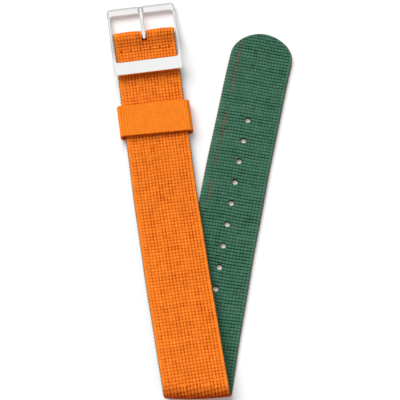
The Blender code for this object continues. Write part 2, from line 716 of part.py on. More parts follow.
def footprint_middle(head_turn):
    """Middle of the strap's outline on the table."""
    xs = [x for x, _ in tail_outline()]
    ys = [-FOLD_RADIUS]
    front = head_place(BAR_PLACE)
    for side in (-1, 1):
        corner = Vector((side * (FRAME_WIDTH / 2 - FRAME_CORNER), FRONT_END - FRAME_CORNER, 0))
        turned = front + Matrix.Rotation(head_turn, 3, 'Z') @ corner
        xs += [turned.x - FRAME_CORNER, turned.x + FRAME_CORNER]
        ys.append(turned.y + FRAME_CORNER)
    return Vector(((min(xs) + max(xs)) / 2, (min(ys) + max(ys)) / 2, 0))


clear_scene()
strap = new_collection("watch_strap")
cutters = new_collection("cutters")
head_turn = LEG_LEAN - HEAD_BOW_LENGTH / HEAD_BOW_RADIUS
base = add_empty("strap_base", -footprint_middle(head_turn))
for number in range(1, FOLD_HINGES + 1):
    add_empty("fold_axis_%d" % number, fold_pivot(number), base)
bar_axis = add_empty("bar_axis", head_place(BAR_PLACE) + Vector((0, 0, BAR_HEIGHT)), base, head_turn)
keeper_axis = add_empty("keeper_axis", head_place(KEEPER_PLACE), base, head_turn)
make_tail(base)
make_fold(base)
make_head(base)
make_loop(base, bar_axis)
make_seam(bar_axis)
make_frame(bar_axis)
make_tang(bar_axis)
make_spring_bar(bar_axis)
make_keeper(keeper_axis)
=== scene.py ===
import json
import math

import bmesh
import bpy
import numpy as np
from mathutils import Matrix, Vector


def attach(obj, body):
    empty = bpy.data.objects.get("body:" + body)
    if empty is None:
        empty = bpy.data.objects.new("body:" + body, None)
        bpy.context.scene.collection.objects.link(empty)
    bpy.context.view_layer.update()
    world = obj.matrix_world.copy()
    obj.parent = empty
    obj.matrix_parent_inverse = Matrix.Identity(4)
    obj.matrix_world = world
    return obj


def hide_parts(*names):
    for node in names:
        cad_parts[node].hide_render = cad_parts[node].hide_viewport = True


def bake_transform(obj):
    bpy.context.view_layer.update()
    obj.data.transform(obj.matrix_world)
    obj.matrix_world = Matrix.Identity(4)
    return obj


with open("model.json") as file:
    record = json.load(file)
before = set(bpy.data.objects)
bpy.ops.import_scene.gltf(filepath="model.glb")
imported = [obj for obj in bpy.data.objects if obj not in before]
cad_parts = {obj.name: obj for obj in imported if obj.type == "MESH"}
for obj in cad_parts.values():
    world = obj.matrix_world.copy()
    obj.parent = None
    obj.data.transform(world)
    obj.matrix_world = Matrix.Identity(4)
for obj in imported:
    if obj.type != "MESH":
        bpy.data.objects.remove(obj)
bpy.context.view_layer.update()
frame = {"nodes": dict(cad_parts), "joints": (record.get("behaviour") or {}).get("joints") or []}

joints = {joint["name"]: joint for joint in frame["joints"]}
scene = bpy.context.scene
chance = np.random.default_rng(11)
print("frame loaded, pieces in it:", len(frame["nodes"]))


# Camera, at the photograph's angle
shot = {
    "elevation": math.radians(72),
    "distance": 0.630,
    "aim": (-0.00028, -0.00162, 0.0),
    "roll": math.radians(-0.71),
    "lens": 180.5,
    "sensor": 36.0,
}


def addCamera():
    back = Vector((0, -math.cos(shot["elevation"]), math.sin(shot["elevation"])))
    data = bpy.data.cameras.new("camera")
    data.lens = shot["lens"]
    data.sensor_width = shot["sensor"]
    data.clip_start = shot["distance"] / 20
    data.clip_end = shot["distance"] * 20
    camera = bpy.data.objects.new("camera", data)
    scene.collection.objects.link(camera)
    turn = (-back).to_track_quat("-Z", "Y").to_matrix() @ Matrix.Rotation(shot["roll"], 3, "Z")
    place = Vector(shot["aim"]) + back * shot["distance"]
    camera.matrix_world = Matrix.LocRotScale(place, turn.to_quaternion(), None)
    scene.camera = camera


# Node helpers
def newMaterial(name):
    material = bpy.data.materials.new(name)
    material.use_nodes = True
    tree = material.node_tree
    return material, tree, tree.nodes["Principled BSDF"]


def addNode(tree, kind, **settings):
    node = tree.nodes.new(kind)
    for name, value in settings.items():
        setattr(node, name, value)
    return node


def feed(tree, socket, value):
    if isinstance(value, bpy.types.NodeSocket):
        tree.links.new(value, socket)
    elif value is not None:
        socket.default_value = value


def maths(tree, operation, first, second=None, clamp=False):
    node = addNode(tree, "ShaderNodeMath", operation=operation, use_clamp=clamp)
    feed(tree, node.inputs[0], first)
    feed(tree, node.inputs[1], second)
    return node.outputs[0]


def mixColours(tree, share, first, second, blend="MIX"):
    node = addNode(tree, "ShaderNodeMix", data_type="RGBA", blend_type=blend)
    for number, value in ((0, share), (6, first), (7, second)):
        feed(tree, node.inputs[number], value)
    return node.outputs[2]


def remap(tree, value, low, high, toLow=0.0, toHigh=1.0, smooth=False):
    node = addNode(tree, "ShaderNodeMapRange", interpolation_type="SMOOTHSTEP" if smooth else "LINEAR")
    feed(tree, node.inputs["Value"], value)
    for name, number in (("From Min", low), ("From Max", high), ("To Min", toLow), ("To Max", toHigh)):
        node.inputs[name].default_value = number
    return node.outputs["Result"]


def noise(tree, vector, scale, detail=2.0, stretch=None):
    if stretch:
        mapping = addNode(tree, "ShaderNodeMapping")
        feed(tree, mapping.inputs["Vector"], vector)
        mapping.inputs["Scale"].default_value = stretch
        vector = mapping.outputs["Vector"]
    node = addNode(tree, "ShaderNodeTexNoise")
    feed(tree, node.inputs["Vector"], vector)
    node.inputs["Scale"].default_value = scale
    node.inputs["Detail"].default_value = detail
    return node.outputs["Fac"]


def addBump(tree, shader, height, strength, depth):
    bump = addNode(tree, "ShaderNodeBump")
    bump.inputs["Strength"].default_value = strength
    bump.inputs["Distance"].default_value = depth
    feed(tree, bump.inputs["Height"], height)
    feed(tree, shader.inputs["Normal"], bump.outputs[0])


# Floor, world and lamp
studio = {
    "floorSize": 6.0,
    "floorDrop": 0.00002,
    "floorShade": 0.94,
    "floorRoughness": 0.9,
    "floorGlow": 0.11,          # seen by the camera only, so that lit floor is white
    "fill": 0.36,
    "horizonShade": (0.18, 0.18, 0.1836, 1),
    "horizonRise": (0.05, 0.90),
    "keyStrength": 2.76,
    "keySpread": math.radians(52),
    "keyLean": math.radians(40),        # from straight above
    "keySide": math.radians(126),       # round from +X
}


def seenShare(tree, *kinds):
    # 1 for the kinds of ray that are named
    path = addNode(tree, "ShaderNodeLightPath")
    share = path.outputs[kinds[0]]
    for kind in kinds[1:]:
        share = maths(tree, "ADD", share, path.outputs[kind], clamp=True)
    return share


def addFloor():
    mesh = bpy.data.meshes.new("floor")
    half = studio["floorSize"] / 2
    corners = [(-half, -half, 0), (half, -half, 0), (half, half, 0), (-half, half, 0)]
    mesh.from_pydata(corners, [], [(0, 1, 2, 3)])
    floor = bpy.data.objects.new("floor", mesh)
    floor.location.z = -studio["floorDrop"]
    scene.collection.objects.link(floor)
    material, tree, shader = newMaterial("paleFloor")
    shade = studio["floorShade"]
    shader.inputs["Base Color"].default_value = (shade, shade, shade, 1)
    shader.inputs["Roughness"].default_value = studio["floorRoughness"]
    shader.inputs["Specular IOR Level"].default_value = 0.0
    glow = addNode(tree, "ShaderNodeEmission")
    seen = seenShare(tree, "Is Camera Ray", "Is Glossy Ray", "Is Transmission Ray")
    feed(tree, glow.inputs["Strength"], maths(tree, "MULTIPLY", seen, studio["floorGlow"]))
    both = addNode(tree, "ShaderNodeAddShader")
    feed(tree, both.inputs[0], shader.outputs[0])
    feed(tree, both.inputs[1], glow.outputs[0])
    feed(tree, tree.nodes["Material Output"].inputs["Surface"], both.outputs[0])
    mesh.materials.append(material)


def backgroundNode(tree, colour, strength):
    node = addNode(tree, "ShaderNodeBackground")
    feed(tree, node.inputs["Color"], colour)
    node.inputs["Strength"].default_value = strength
    return node.outputs[0]


def mixShaders(tree, share, first, second):
    node = addNode(tree, "ShaderNodeMixShader")
    for number, value in enumerate((share, first, second)):
        feed(tree, node.inputs[number], value)
    return node.outputs[0]


def addWorld():
    world = bpy.data.worlds.new("studio")
    scene.world = world
    world.use_nodes = True
    tree = world.node_tree
    tree.nodes.remove(tree.nodes["Background"])
    white = (1, 1, 1, 1)
    place = addNode(tree, "ShaderNodeTexCoord")
    axes = addNode(tree, "ShaderNodeSeparateXYZ")
    feed(tree, axes.inputs[0], place.outputs["Generated"])
    rise = remap(tree, axes.outputs["Z"], *studio["horizonRise"], smooth=True)
    shade = mixColours(tree, rise, studio["horizonShade"], white)
    fill = backgroundNode(tree, white, studio["fill"])
    mirrored = backgroundNode(tree, shade, 1.0)         # what polished steel shows
    backdrop = backgroundNode(tree, white, 1.0)
    lit = mixShaders(tree, seenShare(tree, "Is Glossy Ray"), fill, mirrored)
    seen = mixShaders(tree, seenShare(tree, "Is Camera Ray", "Is Transmission Ray"), lit, backdrop)
    feed(tree, tree.nodes["World Output"].inputs["Surface"], seen)


def addKeyLamp():
    data = bpy.data.lights.new("keyLamp", "SUN")
    data.energy = studio["keyStrength"]
    data.angle = studio["keySpread"]
    lamp = bpy.data.objects.new("keyLamp", data)
    lamp.rotation_euler = (studio["keyLean"], 0, studio["keySide"] + math.pi / 2)
    lamp.visible_glossy = False         # steel mirrors the plain studio, not the lamp
    scene.collection.objects.link(lamp)


addCamera()
addFloor()
addWorld()
addKeyLamp()
scene.view_settings.view_transform = "Standard"
print("camera, floor, world and lamp ready")


# Webbing: one length of double-faced cloth, laid out as the frame's solids are.
# A place on it is its distance along from the crown of the fold, minus on the tail,
# and its distance across.
webbing = {
    "width": 0.0200,
    "thickness": 0.0012,
    "lean": math.radians(8.93),         # of each leg at the fold, off the Y axis
    "tailBow": 1.572,           # radius of each leg's slow sideways bow
    "headBow": 2.336,
    "headBowLength": 0.085,     # the head is straight beyond it
    "foldRadius": 0.0030,
    "rampSlope": math.radians(3.3),     # at which the head comes down from the fold
    "rampBlend": 0.120,         # radius of its bend back to level
    "restGap": 0.0003,          # between layers that rest on each other
    "tailLength": 0.1222,
    "tipLength": 0.0087,
    "firstHole": 0.0356,        # from the fold's crown
    "holePitch": 0.00705,
    "holeCount": 9,
    "holeRadius": 0.00095,
    "barPlace": 0.1203,         # the spring bar's middle, from the fold's crown
    "barRadius": 0.00065,
    "loopWidth": 0.0196,
    "drawIn": 0.006,            # length over which the width narrows to the loop's
    "loopClearance": 0.00025,
    "loopOpening": 0.0040,      # the head leaves the flat this far before the bar
    "flapLength": 0.0088,
    "loopLeave": math.radians(115),     # angle round the bar where the cloth meets it
    "loopSwell": 0.00012,       # each half of the loop is fuller in its middle
    "swellPlace": 0.0066,
    "swellReach": 0.0028,
    "slotWidth": 0.0016,
    "slotBack": 0.00140,        # the tang's slot ends this far behind the bar
    "foldLinks": 5,
    "linkReach": 0.98,          # of the way from hinge to hinge, where a fold piece is bent
    "foldFullness": 0.0008,     # the fold's outer face stands out a little in its middle
    "foldReach": 0.0028,
    "foldShift": 0.15,          # and most of all a little left of it
    "tailSplit": -0.0600,       # where the long legs are parted into two meshes
    "headSplit": 0.0572,
}

midRadius = webbing["foldRadius"] - webbing["thickness"] / 2
halfWrap = midRadius * math.pi / 2
headMid = webbing["thickness"] * 1.5 + webbing["restGap"]
headTop = headMid + webbing["thickness"] / 2
rampStart = midRadius * (math.pi / 2 + webbing["rampSlope"])
rampDrop = (webbing["foldRadius"] + midRadius * math.cos(webbing["rampSlope"])
            - webbing["rampBlend"] * (1 - math.cos(webbing["rampSlope"])) - headMid)
rampLength = rampDrop / math.sin(webbing["rampSlope"])
flatStart = rampStart + rampLength + webbing["rampBlend"] * webbing["rampSlope"]
loopRadius = webbing["barRadius"] + webbing["loopClearance"] + webbing["thickness"] / 2
barHeight = loopRadius + webbing["thickness"] / 2
linkTurn = (math.pi + webbing["rampSlope"]) / webbing["foldLinks"]
headTurn = webbing["lean"] - webbing["headBowLength"] / webbing["headBow"]
strapBase = np.array(joints["fold_open_1"]["pos_m"])


def easeShare(value, low, high):
    share = np.clip((value - low) / (high - low), 0, 1)
    return share * share * (3 - 2 * share)


def curveShares(share):
    # weights of a cubic curve's start, its direction there, its end and its direction there
    return (2 * share ** 3 - 3 * share ** 2 + 1, share ** 3 - 2 * share ** 2 + share,
            3 * share ** 2 - 2 * share ** 3, share ** 3 - share ** 2)


def layOut(along, across):
    # wrap distance round the fold and X, on the strap's sideways bow
    onTail = along < 0
    bow = np.where(onTail, webbing["tailBow"], webbing["headBow"])
    limit = np.where(onTail, webbing["tailLength"], webbing["headBowLength"])
    reach = np.abs(along)
    bend = np.minimum(reach, limit) / bow
    past = np.maximum(reach - limit, 0)
    side = bow * (1 - np.cos(bend)) + past * np.sin(bend) + across * np.cos(bend)
    run = bow * np.sin(bend) + past * np.cos(bend) - across * np.sin(bend)
    run = np.where(onTail, -run, run)
    lean = webbing["lean"]
    return run * np.cos(lean) + side * np.sin(lean), side * np.cos(lean) - run * np.sin(lean)


def alongAtWrap(wrap, across):
    along = wrap / math.cos(webbing["lean"]) - across * math.tan(webbing["lean"])
    for _ in range(4):
        along = along + (wrap - float(layOut(along, across)[0])) / math.cos(webbing["lean"])
    return along


def sideProfile(wrap):
    # Y, Z and the turn of the middle layer's outward normal
    slope, blend = webbing["rampSlope"], webbing["rampBlend"]
    turn = np.clip(wrap / midRadius + math.pi / 2, 0, math.pi + slope)
    y = -midRadius * np.sin(turn) - np.minimum(wrap + halfWrap, 0)
    z = webbing["foldRadius"] - midRadius * np.cos(turn)
    onRamp = np.clip(wrap - rampStart, 0, rampLength)
    onBlend = np.clip(wrap - rampStart - rampLength, 0, blend * slope)
    left = slope - onBlend / blend
    y = y + onRamp * math.cos(slope) + blend * (math.sin(slope) - np.sin(left))
    z = z - onRamp * math.sin(slope) - blend * (np.cos(left) - math.cos(slope))
    return y + np.maximum(wrap - flatStart, 0), z, turn - onBlend / blend


def loopPath():
    # distance along and height, from the flat round the bar to the flap's cut end
    count = 60
    start = (webbing["barPlace"] - webbing["loopOpening"], headMid)
    leave = webbing["loopLeave"]
    top = (webbing["barPlace"] + loopRadius * math.cos(leave), barHeight + loopRadius * math.sin(leave))
    reach = top[0] - start[0]
    a, b, c, d = curveShares(np.linspace(0, 1, count, endpoint=False))
    along = a * start[0] + b * reach + c * top[0] + d * reach * math.sin(leave)
    height = a * start[1] + c * top[1] - d * reach * math.cos(leave)
    turn = leave - (leave + math.pi / 2) * np.linspace(0, 1, count)
    along = np.append(along, webbing["barPlace"] + loopRadius * np.cos(turn))
    height = np.append(height, barHeight + loopRadius * np.sin(turn))
    back = np.linspace(webbing["barPlace"], webbing["barPlace"] - webbing["flapLength"], count)[1:]
    along = np.append(along, back)
    height = np.append(height, np.full(len(back), webbing["thickness"] / 2))
    steps = np.hypot(np.diff(along), np.diff(height))
    return np.append(0, np.cumsum(steps)), along, height


pathLength, pathAlong, pathHeight = loopPath()
pathTurn = np.unwrap(np.arctan2(np.gradient(pathHeight, pathLength), np.gradient(pathAlong, pathLength)))
loopStart = webbing["barPlace"] - webbing["loopOpening"]
clothEnd = loopStart + pathLength[-1]


def placeWebbing(along, across, height):
    # a point this far out from the middle layer, towards the orange face
    onLoop = along > loopStart
    past = np.clip(along - loopStart, 0, pathLength[-1])
    beyond = np.maximum(along - clothEnd, 0)
    flatAlong = np.where(onLoop, np.interp(past, pathLength, pathAlong) - beyond, along)
    wrap, x = layOut(flatAlong, across)
    y, z, turn = sideProfile(wrap)
    share = (across / (webbing["width"] / 2) + webbing["foldShift"]) / (1 + webbing["foldShift"])
    fullness = np.exp(-(wrap / webbing["foldReach"]) ** 2) * np.maximum(1 - share ** 2, 0)
    outermost = np.clip(height / (webbing["thickness"] / 4), 0, 1)
    y = y - webbing["foldFullness"] * fullness * outermost
    climb = np.interp(past, pathLength, pathTurn)
    z = np.where(onLoop, np.interp(past, pathLength, pathHeight), z)
    normalX = np.where(onLoop, np.sin(climb) * math.sin(headTurn), 0)
    normalY = np.where(onLoop, -np.sin(climb) * math.cos(headTurn), -np.sin(turn))
    normalZ = np.where(onLoop, np.cos(climb), -np.cos(turn))
    place = np.stack((x + normalX * height, y + normalY * height, z + normalZ * height), -1)
    return place + strapBase


def halfWidth(along):
    drawn = webbing["barPlace"] - webbing["flapLength"] - along
    share = np.clip(1 - drawn / webbing["drawIn"], 0, 1)
    return (webbing["width"] + (webbing["loopWidth"] - webbing["width"]) * share) / 2


def headFrame(along, height):
    # place and turn of things that sit squarely on the straight head
    wrap, x = layOut(np.array(along), np.array(0.0))
    place = Vector((float(x), float(sideProfile(wrap)[0]), height)) + Vector(strapBase)
    return Matrix.Translation(place) @ Matrix.Rotation(headTurn, 4, "Z")


# Cloth in general: a flat mesh is raised into yarns on both faces and laid in its place
def meshFromArrays(name, places, corners, starts):
    mesh = bpy.data.meshes.new(name)
    mesh.vertices.add(len(places))
    mesh.vertices.foreach_set("co", np.asarray(places, np.float32).ravel())
    mesh.loops.add(len(corners))
    mesh.loops.foreach_set("vertex_index", np.asarray(corners, np.int32))
    mesh.polygons.add(len(starts))
    mesh.polygons.foreach_set("loop_start", np.asarray(starts, np.int32))
    mesh.update(calc_edges=True)
    return mesh


def readArray(items, name, kind, width=1):
    values = np.empty(len(items) * width, kind)
    items.foreach_get(name, values)
    return values if width == 1 else values.reshape(-1, width)


def flatCloth(across, along, keep, scores=()):
    # the kept quads of a grid, scored along straight lines, without loose points
    index = np.arange(along.size).reshape(along.shape)
    quads = np.stack((index[:-1, :-1], index[:-1, 1:], index[1:, 1:], index[1:, :-1]), -1)[keep]
    places = np.stack((across.ravel(), along.ravel(), np.zeros(along.size)), -1)
    mesh = meshFromArrays("flatCloth", places, quads.ravel(), np.arange(0, quads.size, 4))
    sheet = bmesh.new()
    sheet.from_mesh(mesh)
    loose = [point for point in sheet.verts if not point.link_faces]
    bmesh.ops.delete(sheet, geom=loose, context="VERTS")
    for first, second in scores:
        ahead = Vector(second) - Vector(first)
        bmesh.ops.bisect_plane(sheet, geom=sheet.verts[:] + sheet.edges[:] + sheet.faces[:], dist=5e-6,
                               use_snap_center=True, plane_co=(*first, 0), plane_no=(-ahead.y, ahead.x, 0))
    sheet.to_mesh(mesh)
    sheet.free()
    cloth = {"mesh": mesh, "corners": readArray(mesh.loops, "vertex_index", np.int32),
             "edges": readArray(mesh.loops, "edge_index", np.int32),
             "starts": readArray(mesh.polygons, "loop_start", np.int32),
             "totals": readArray(mesh.polygons, "loop_total", np.int32)}
    flat = readArray(mesh.vertices, "co", np.float32, 3).astype(float)
    cloth["across"], cloth["along"] = flat[:, 0], flat[:, 1]
    cloth["owner"] = np.repeat(np.arange(len(cloth["starts"])), cloth["totals"])
    following = np.arange(len(cloth["corners"])) + 1
    following[cloth["starts"] + cloth["totals"] - 1] = cloth["starts"]
    cloth["ahead"] = cloth["corners"][following]
    cloth["uses"] = np.bincount(cloth["edges"], minlength=len(mesh.edges))
    return cloth


def polygonMiddles(cloth, values):
    return np.add.reduceat(values[cloth["corners"]], cloth["starts"]) / cloth["totals"]


def edgeOutward(cloth):
    # direction out of the cloth at each point of a free edge, as across and along
    free = cloth["uses"][cloth["edges"]] == 1
    first, second = cloth["corners"][free], cloth["ahead"][free]
    out = np.zeros((len(cloth["across"]), 2))
    for ends in (first, second):
        np.add.at(out[:, 0], ends, cloth["along"][second] - cloth["along"][first])
        np.add.at(out[:, 1], ends, cloth["across"][first] - cloth["across"][second])
    return out / np.maximum(np.hypot(out[:, 0], out[:, 1]), 1e-12)[:, None]


def raiseCloth(cloth, place, half, outerRise, innerRise, shift, bulge, depth, wallCrest):
    # both faces, the directions of their edges and what the materials read
    across, along = cloth["across"], cloth["along"]
    cloth["place"] = place
    cloth["wallCrest"] = np.zeros(len(across)) + wallCrest
    cloth["top"], cloth["low"] = half + outerRise + shift, -half - innerRise + shift
    cloth["outer"] = place(along, across, cloth["top"])
    cloth["inner"] = place(along, across, cloth["low"])
    for face in ("outer", "inner"):
        probe = meshFromArrays("probe", cloth[face], cloth["corners"], cloth["starts"])
        normals = readArray(probe.vertex_normals, "vector", np.float32, 3)
        cloth[face + "Normal"] = normals if face == "outer" else -normals
        bpy.data.meshes.remove(probe)
    cloth["out"], cloth["bulge"] = edgeOutward(cloth), bulge
    cloth["outerCrest"], cloth["innerCrest"] = 1 + outerRise / depth, 1 + innerRise / depth


def clothData(cloth, across, along, side, crest):
    # what the materials read: yarn numbers, which face, and height on the yarn
    column, row = cloth["yarns"](across, along)
    return np.stack((column, row, np.full(len(across), side), crest), -1)


def markMesh(mesh, sharpLoops, data):
    sharp = np.zeros(len(mesh.edges), bool)
    sharp[readArray(mesh.loops, "edge_index", np.int32)[np.concatenate(sharpLoops)]] = True
    mesh.attributes.new("sharp_edge", "BOOLEAN", "EDGE").data.foreach_set("value", sharp)
    yarns = mesh.attributes.new("yarns", "FLOAT_VECTOR", "POINT")
    yarns.data.foreach_set("vector", data[:, :3].astype(np.float32).ravel())
    crest = mesh.attributes.new("crest", "FLOAT", "POINT")
    crest.data.foreach_set("value", data[:, 3].astype(np.float32))


def matchNormals(mesh, cloth, points, onCut, corners):
    # at a cut both pieces take the whole cloth's normals, so that no line shows between them
    normals = np.zeros((len(mesh.loops), 3), np.float32)
    first = 0
    for face, picked in zip(("outerNormal", "innerNormal"), corners):
        part = slice(first, first + len(picked))
        normals[part] = np.where(onCut[picked][:, None], cloth[face][points[picked]], 0)
        first += len(picked)
    mesh.normals_split_custom_set(normals.tolist())


def clothPiece(name, cloth, chosen, wallLayers=4):
    # the chosen polygons as a closed slab: two faces, rolled free edges, flat cut ends
    loops = np.flatnonzero(chosen[cloth["owner"]])
    points, corner = np.unique(cloth["corners"][loops], return_inverse=True)
    count, totals = len(points), cloth["totals"][chosen]
    starts = np.concatenate(([0], np.cumsum(totals)[:-1]))
    owner = np.repeat(np.arange(len(totals)), totals)
    backward = 2 * starts[owner] + totals[owner] - 1 - np.arange(len(corner))
    edge = cloth["edges"][loops]
    rim = np.bincount(edge, minlength=len(cloth["uses"]))[edge] == 1
    first, second = corner[rim], np.searchsorted(points, cloth["ahead"][loops][rim])
    cut = cloth["uses"][edge][rim] == 2
    rims = np.unique(np.concatenate((first, second)))
    order = np.full(count, -1)
    order[rims] = np.arange(len(rims))
    onCut, onFree = np.zeros(count, bool), np.zeros(count, bool)
    for ends in (first, second):
        onCut[ends[cut]] = True
        onFree[ends[~cut]] = True

    across, along = cloth["across"][points], cloth["along"][points]
    places = [cloth["outer"][points], cloth["inner"][points]]
    data = [clothData(cloth, across, along, 0.0, cloth["outerCrest"][points]),
            clothData(cloth, across, along, 1.0, cloth["innerCrest"][points])]
    corners = [corner, corner[backward] + count]
    material = [np.zeros(len(totals), int), np.ones(len(totals), int)]
    rimPoints = points[rims]
    top, low = cloth["top"][rimPoints], cloth["low"][rimPoints]
    previous, base, sharpLoops = rims, 2 * count, []
    wallStart = 2 * len(corner)
    for layer in range(wallLayers + 1):
        current = rims + count
        if layer < wallLayers:
            turn = math.pi * (layer + 1) / (wallLayers + 1)
            bulge = cloth["bulge"][rimPoints] * math.sin(turn)
            sideways = across[rims] + cloth["out"][rimPoints, 0] * bulge
            lengthways = along[rims] + cloth["out"][rimPoints, 1] * bulge
            height = (top + low) / 2 + (top - low) / 2 * math.cos(turn)
            places.append(cloth["place"](lengthways, sideways, height))
            # painted shade: an edge wall darkens towards its middle, where it faces sideways, and a wall
            # with a crest below zero stays dark
            wall = cloth["wallCrest"][rimPoints]
            data.append(clothData(cloth, sideways, lengthways, float(layer >= wallLayers / 2),
                                  np.minimum(wall, wall * abs(math.cos(turn)))))
            current = base + np.arange(len(rims))
            base += len(rims)
        a, b = order[first], order[second]
        corners.append(np.stack((previous[b], previous[a], current[a], current[b]), -1).ravel())
        material.append(np.full(len(first), int(layer > wallLayers / 2)))
        here = wallStart + 4 * np.arange(len(first))
        sharpLoops += [(here + 1)[cut & onFree[first]], (here + 3)[cut & onFree[second]]]
        if layer == 0:
            sharpLoops.append(here[cut])
        if layer == wallLayers:
            sharpLoops.append((here + 2)[cut])
        wallStart += 4 * len(first)
        previous = current
    corners, data = np.concatenate(corners), np.concatenate(data)
    wallCount = len(first) * (wallLayers + 1)
    allTotals = np.concatenate((totals, totals, np.full(wallCount, 4)))
    allStarts = np.concatenate(([0], np.cumsum(allTotals)[:-1]))
    mesh = meshFromArrays(name, np.concatenate(places), corners, allStarts)
    mesh.polygons.foreach_set("material_index", np.concatenate(material).astype(np.int32))
    mesh.shade_smooth()
    markMesh(mesh, sharpLoops, data)
    if onCut.any():
        matchNormals(mesh, cloth, points, onCut, (corner, corner[backward]))
    piece = bpy.data.objects.new(name, mesh)
    scene.collection.objects.link(piece)
    return piece


# The strap's weave
weave = {
    "columns": 19,
    "pitch": 0.00104,                   # wanted, along the strap
    "samples": 6,                       # mesh rows and columns to a yarn
    "columnGaps": ((0.00017, 0.00015), (0.00011, 0.00006)),      # lengthwise yarn up, then crosswise
    "rowGaps": ((0.00012, 0.00014), (0.00023, 0.00024)),         # orange face, then green face
    "crossLevel": (0.00001, 0.0),
    "cornerPit": (0.00003, 0.00006),
    "pitPower": 4,
    "roundness": 3.0,
    "soften": 0.02,                     # of a yarn, from one crossing to the next
    "uneven": 0.25,
    "looseShare": 0.12,                 # of the crossings, with deeper gaps round them
    "looseGap": 1.6,
    "edgeZones": (0.0021, 0.0014),      # smoother selvedge, left and right
    "edgeStart": 0.3,                   # of the zone, flattest from the edge to there
    "edgeShare": 0.2,                   # of the gaps between columns that is left there
    "edgeRows": 0.4,                    # share of the gaps between rows that follows it
    "edgeBulge": 0.00026,
    "edgeBump": 0.6,
    "rimBulge": 0.3,                    # of the holes and the slot
    # painted shade on the walls of the holes, the slot and the edges: a lower crest gives a darker colour
    "rimCrest": -0.5,
    "slotCrest": 0.2,
    "edgeCrest": (0.55, 0.45),          # and its swing from yarn to yarn
    "paintedFoldShade": 0.7,                 # painted shade, darkening the outer face round the fold
    "paintedFoldReach": (-0.0040, -0.0004, 0.0038),
    "sealZone": 0.00035,                # melted rim of the holes and the tip
    "snap": 1.3,                        # edge points this many radii away are drawn onto the rim
    "tipSnap": 0.9,
    "sway": (0.00004, ((0, 0.23, 1.0), (0.2, 0.071, 0))),        # reach, then waves by column and row
    "drift": (0.00007, ((0.55, 0.013, 0), (0.21, 0.05, 0))),
    "wanderFree": (0.009, 0.016),       # none within the fold
}

seam = {
    "place": 0.0045,                    # back from the bar
    "stitches": 5,
    "margin": 0.0020,
    "dip": 0.00008,
    "underDip": 0.00032,
    "dipSpread": 0.00042,
    "pit": 0.00060,
    "pitSpread": 0.00027,
    "pitShift": 0.00010,                # the thread comes up on the right of its needle hole
}

rowCount = round((clothEnd + webbing["tailLength"]) / weave["pitch"]) * weave["samples"]
rowStep = (clothEnd + webbing["tailLength"]) / rowCount
yarnPitch = rowStep * weave["samples"]
columnUneven = 1 + weave["uneven"] * chance.uniform(-1, 1, weave["columns"] + 2)
rowUneven = 1 + weave["uneven"] * chance.uniform(-1, 1, rowCount // weave["samples"] + 3)
crossingUneven = 1 + weave["uneven"] * chance.uniform(-1, 1, (len(rowUneven), len(columnUneven)))
crossingUneven[chance.random(crossingUneven.shape) < weave["looseShare"]] *= weave["looseGap"]


def strapYarns(across, along):
    half = halfWidth(along) - weave["edgeBulge"]
    return (across / half + 1) / 2 * weave["columns"], (along + webbing["tailLength"]) / yarnPitch


def crossing(column, row, face):
    # drops between neighbouring yarns at one crossing, lengthwise gaps and crosswise gaps
    over = (np.floor(column) + np.floor(row) + face) % 2 > 0.5
    x, y = np.abs(2 * (column % 1) - 1), np.abs(2 * (row % 1) - 1)
    c = np.clip(np.floor(column).astype(int) + 1, 0, len(columnUneven) - 1)
    r = np.clip(np.floor(row).astype(int) + 1, 0, len(rowUneven) - 1)
    columnGap = np.where(over, *weave["columnGaps"][face]) * columnUneven[c] * crossingUneven[r, c]
    rowGap = np.where(over, *weave["rowGaps"][face]) * rowUneven[r] * (crossingUneven[r, c] + 1) / 2
    level = np.where(over, 0, weave["crossLevel"][face])
    power = weave["roundness"]
    pit = weave["cornerPit"][face] * (x * y) ** weave["pitPower"]
    return columnGap * x ** power, rowGap * y ** power + level + pit


def strapRise(across, along, face):
    column, row = strapYarns(across, along)
    near = weave["soften"]
    columnDrop, rowDrop = 0, 0
    for besideColumn in (-near, near):
        for besideRow in (-near, near):
            drops = crossing(column + besideColumn, row + besideRow, face)
            columnDrop = columnDrop + drops[0] / 4
            rowDrop = rowDrop + drops[1] / 4
    fromEdge = halfWidth(along) - np.abs(across)
    zone = np.where(across < 0, *weave["edgeZones"])
    inward = easeShare(fromEdge, zone * weave["edgeStart"], zone)
    calm = weave["edgeShare"] + (1 - weave["edgeShare"]) * inward
    return -columnDrop * calm - rowDrop * (1 - weave["edgeRows"] + weave["edgeRows"] * calm)


slotLow = webbing["barPlace"] - webbing["slotBack"]
slotHigh = clothEnd - webbing["flapLength"]
tipStart = -(webbing["tailLength"] - webbing["tipLength"])
tipHalf = webbing["width"] / 2 - weave["edgeBulge"]
tipReach = webbing["tipLength"] - weave["edgeBulge"]


def holePlace(number):
    return -(webbing["firstHole"] + webbing["holePitch"] * number)


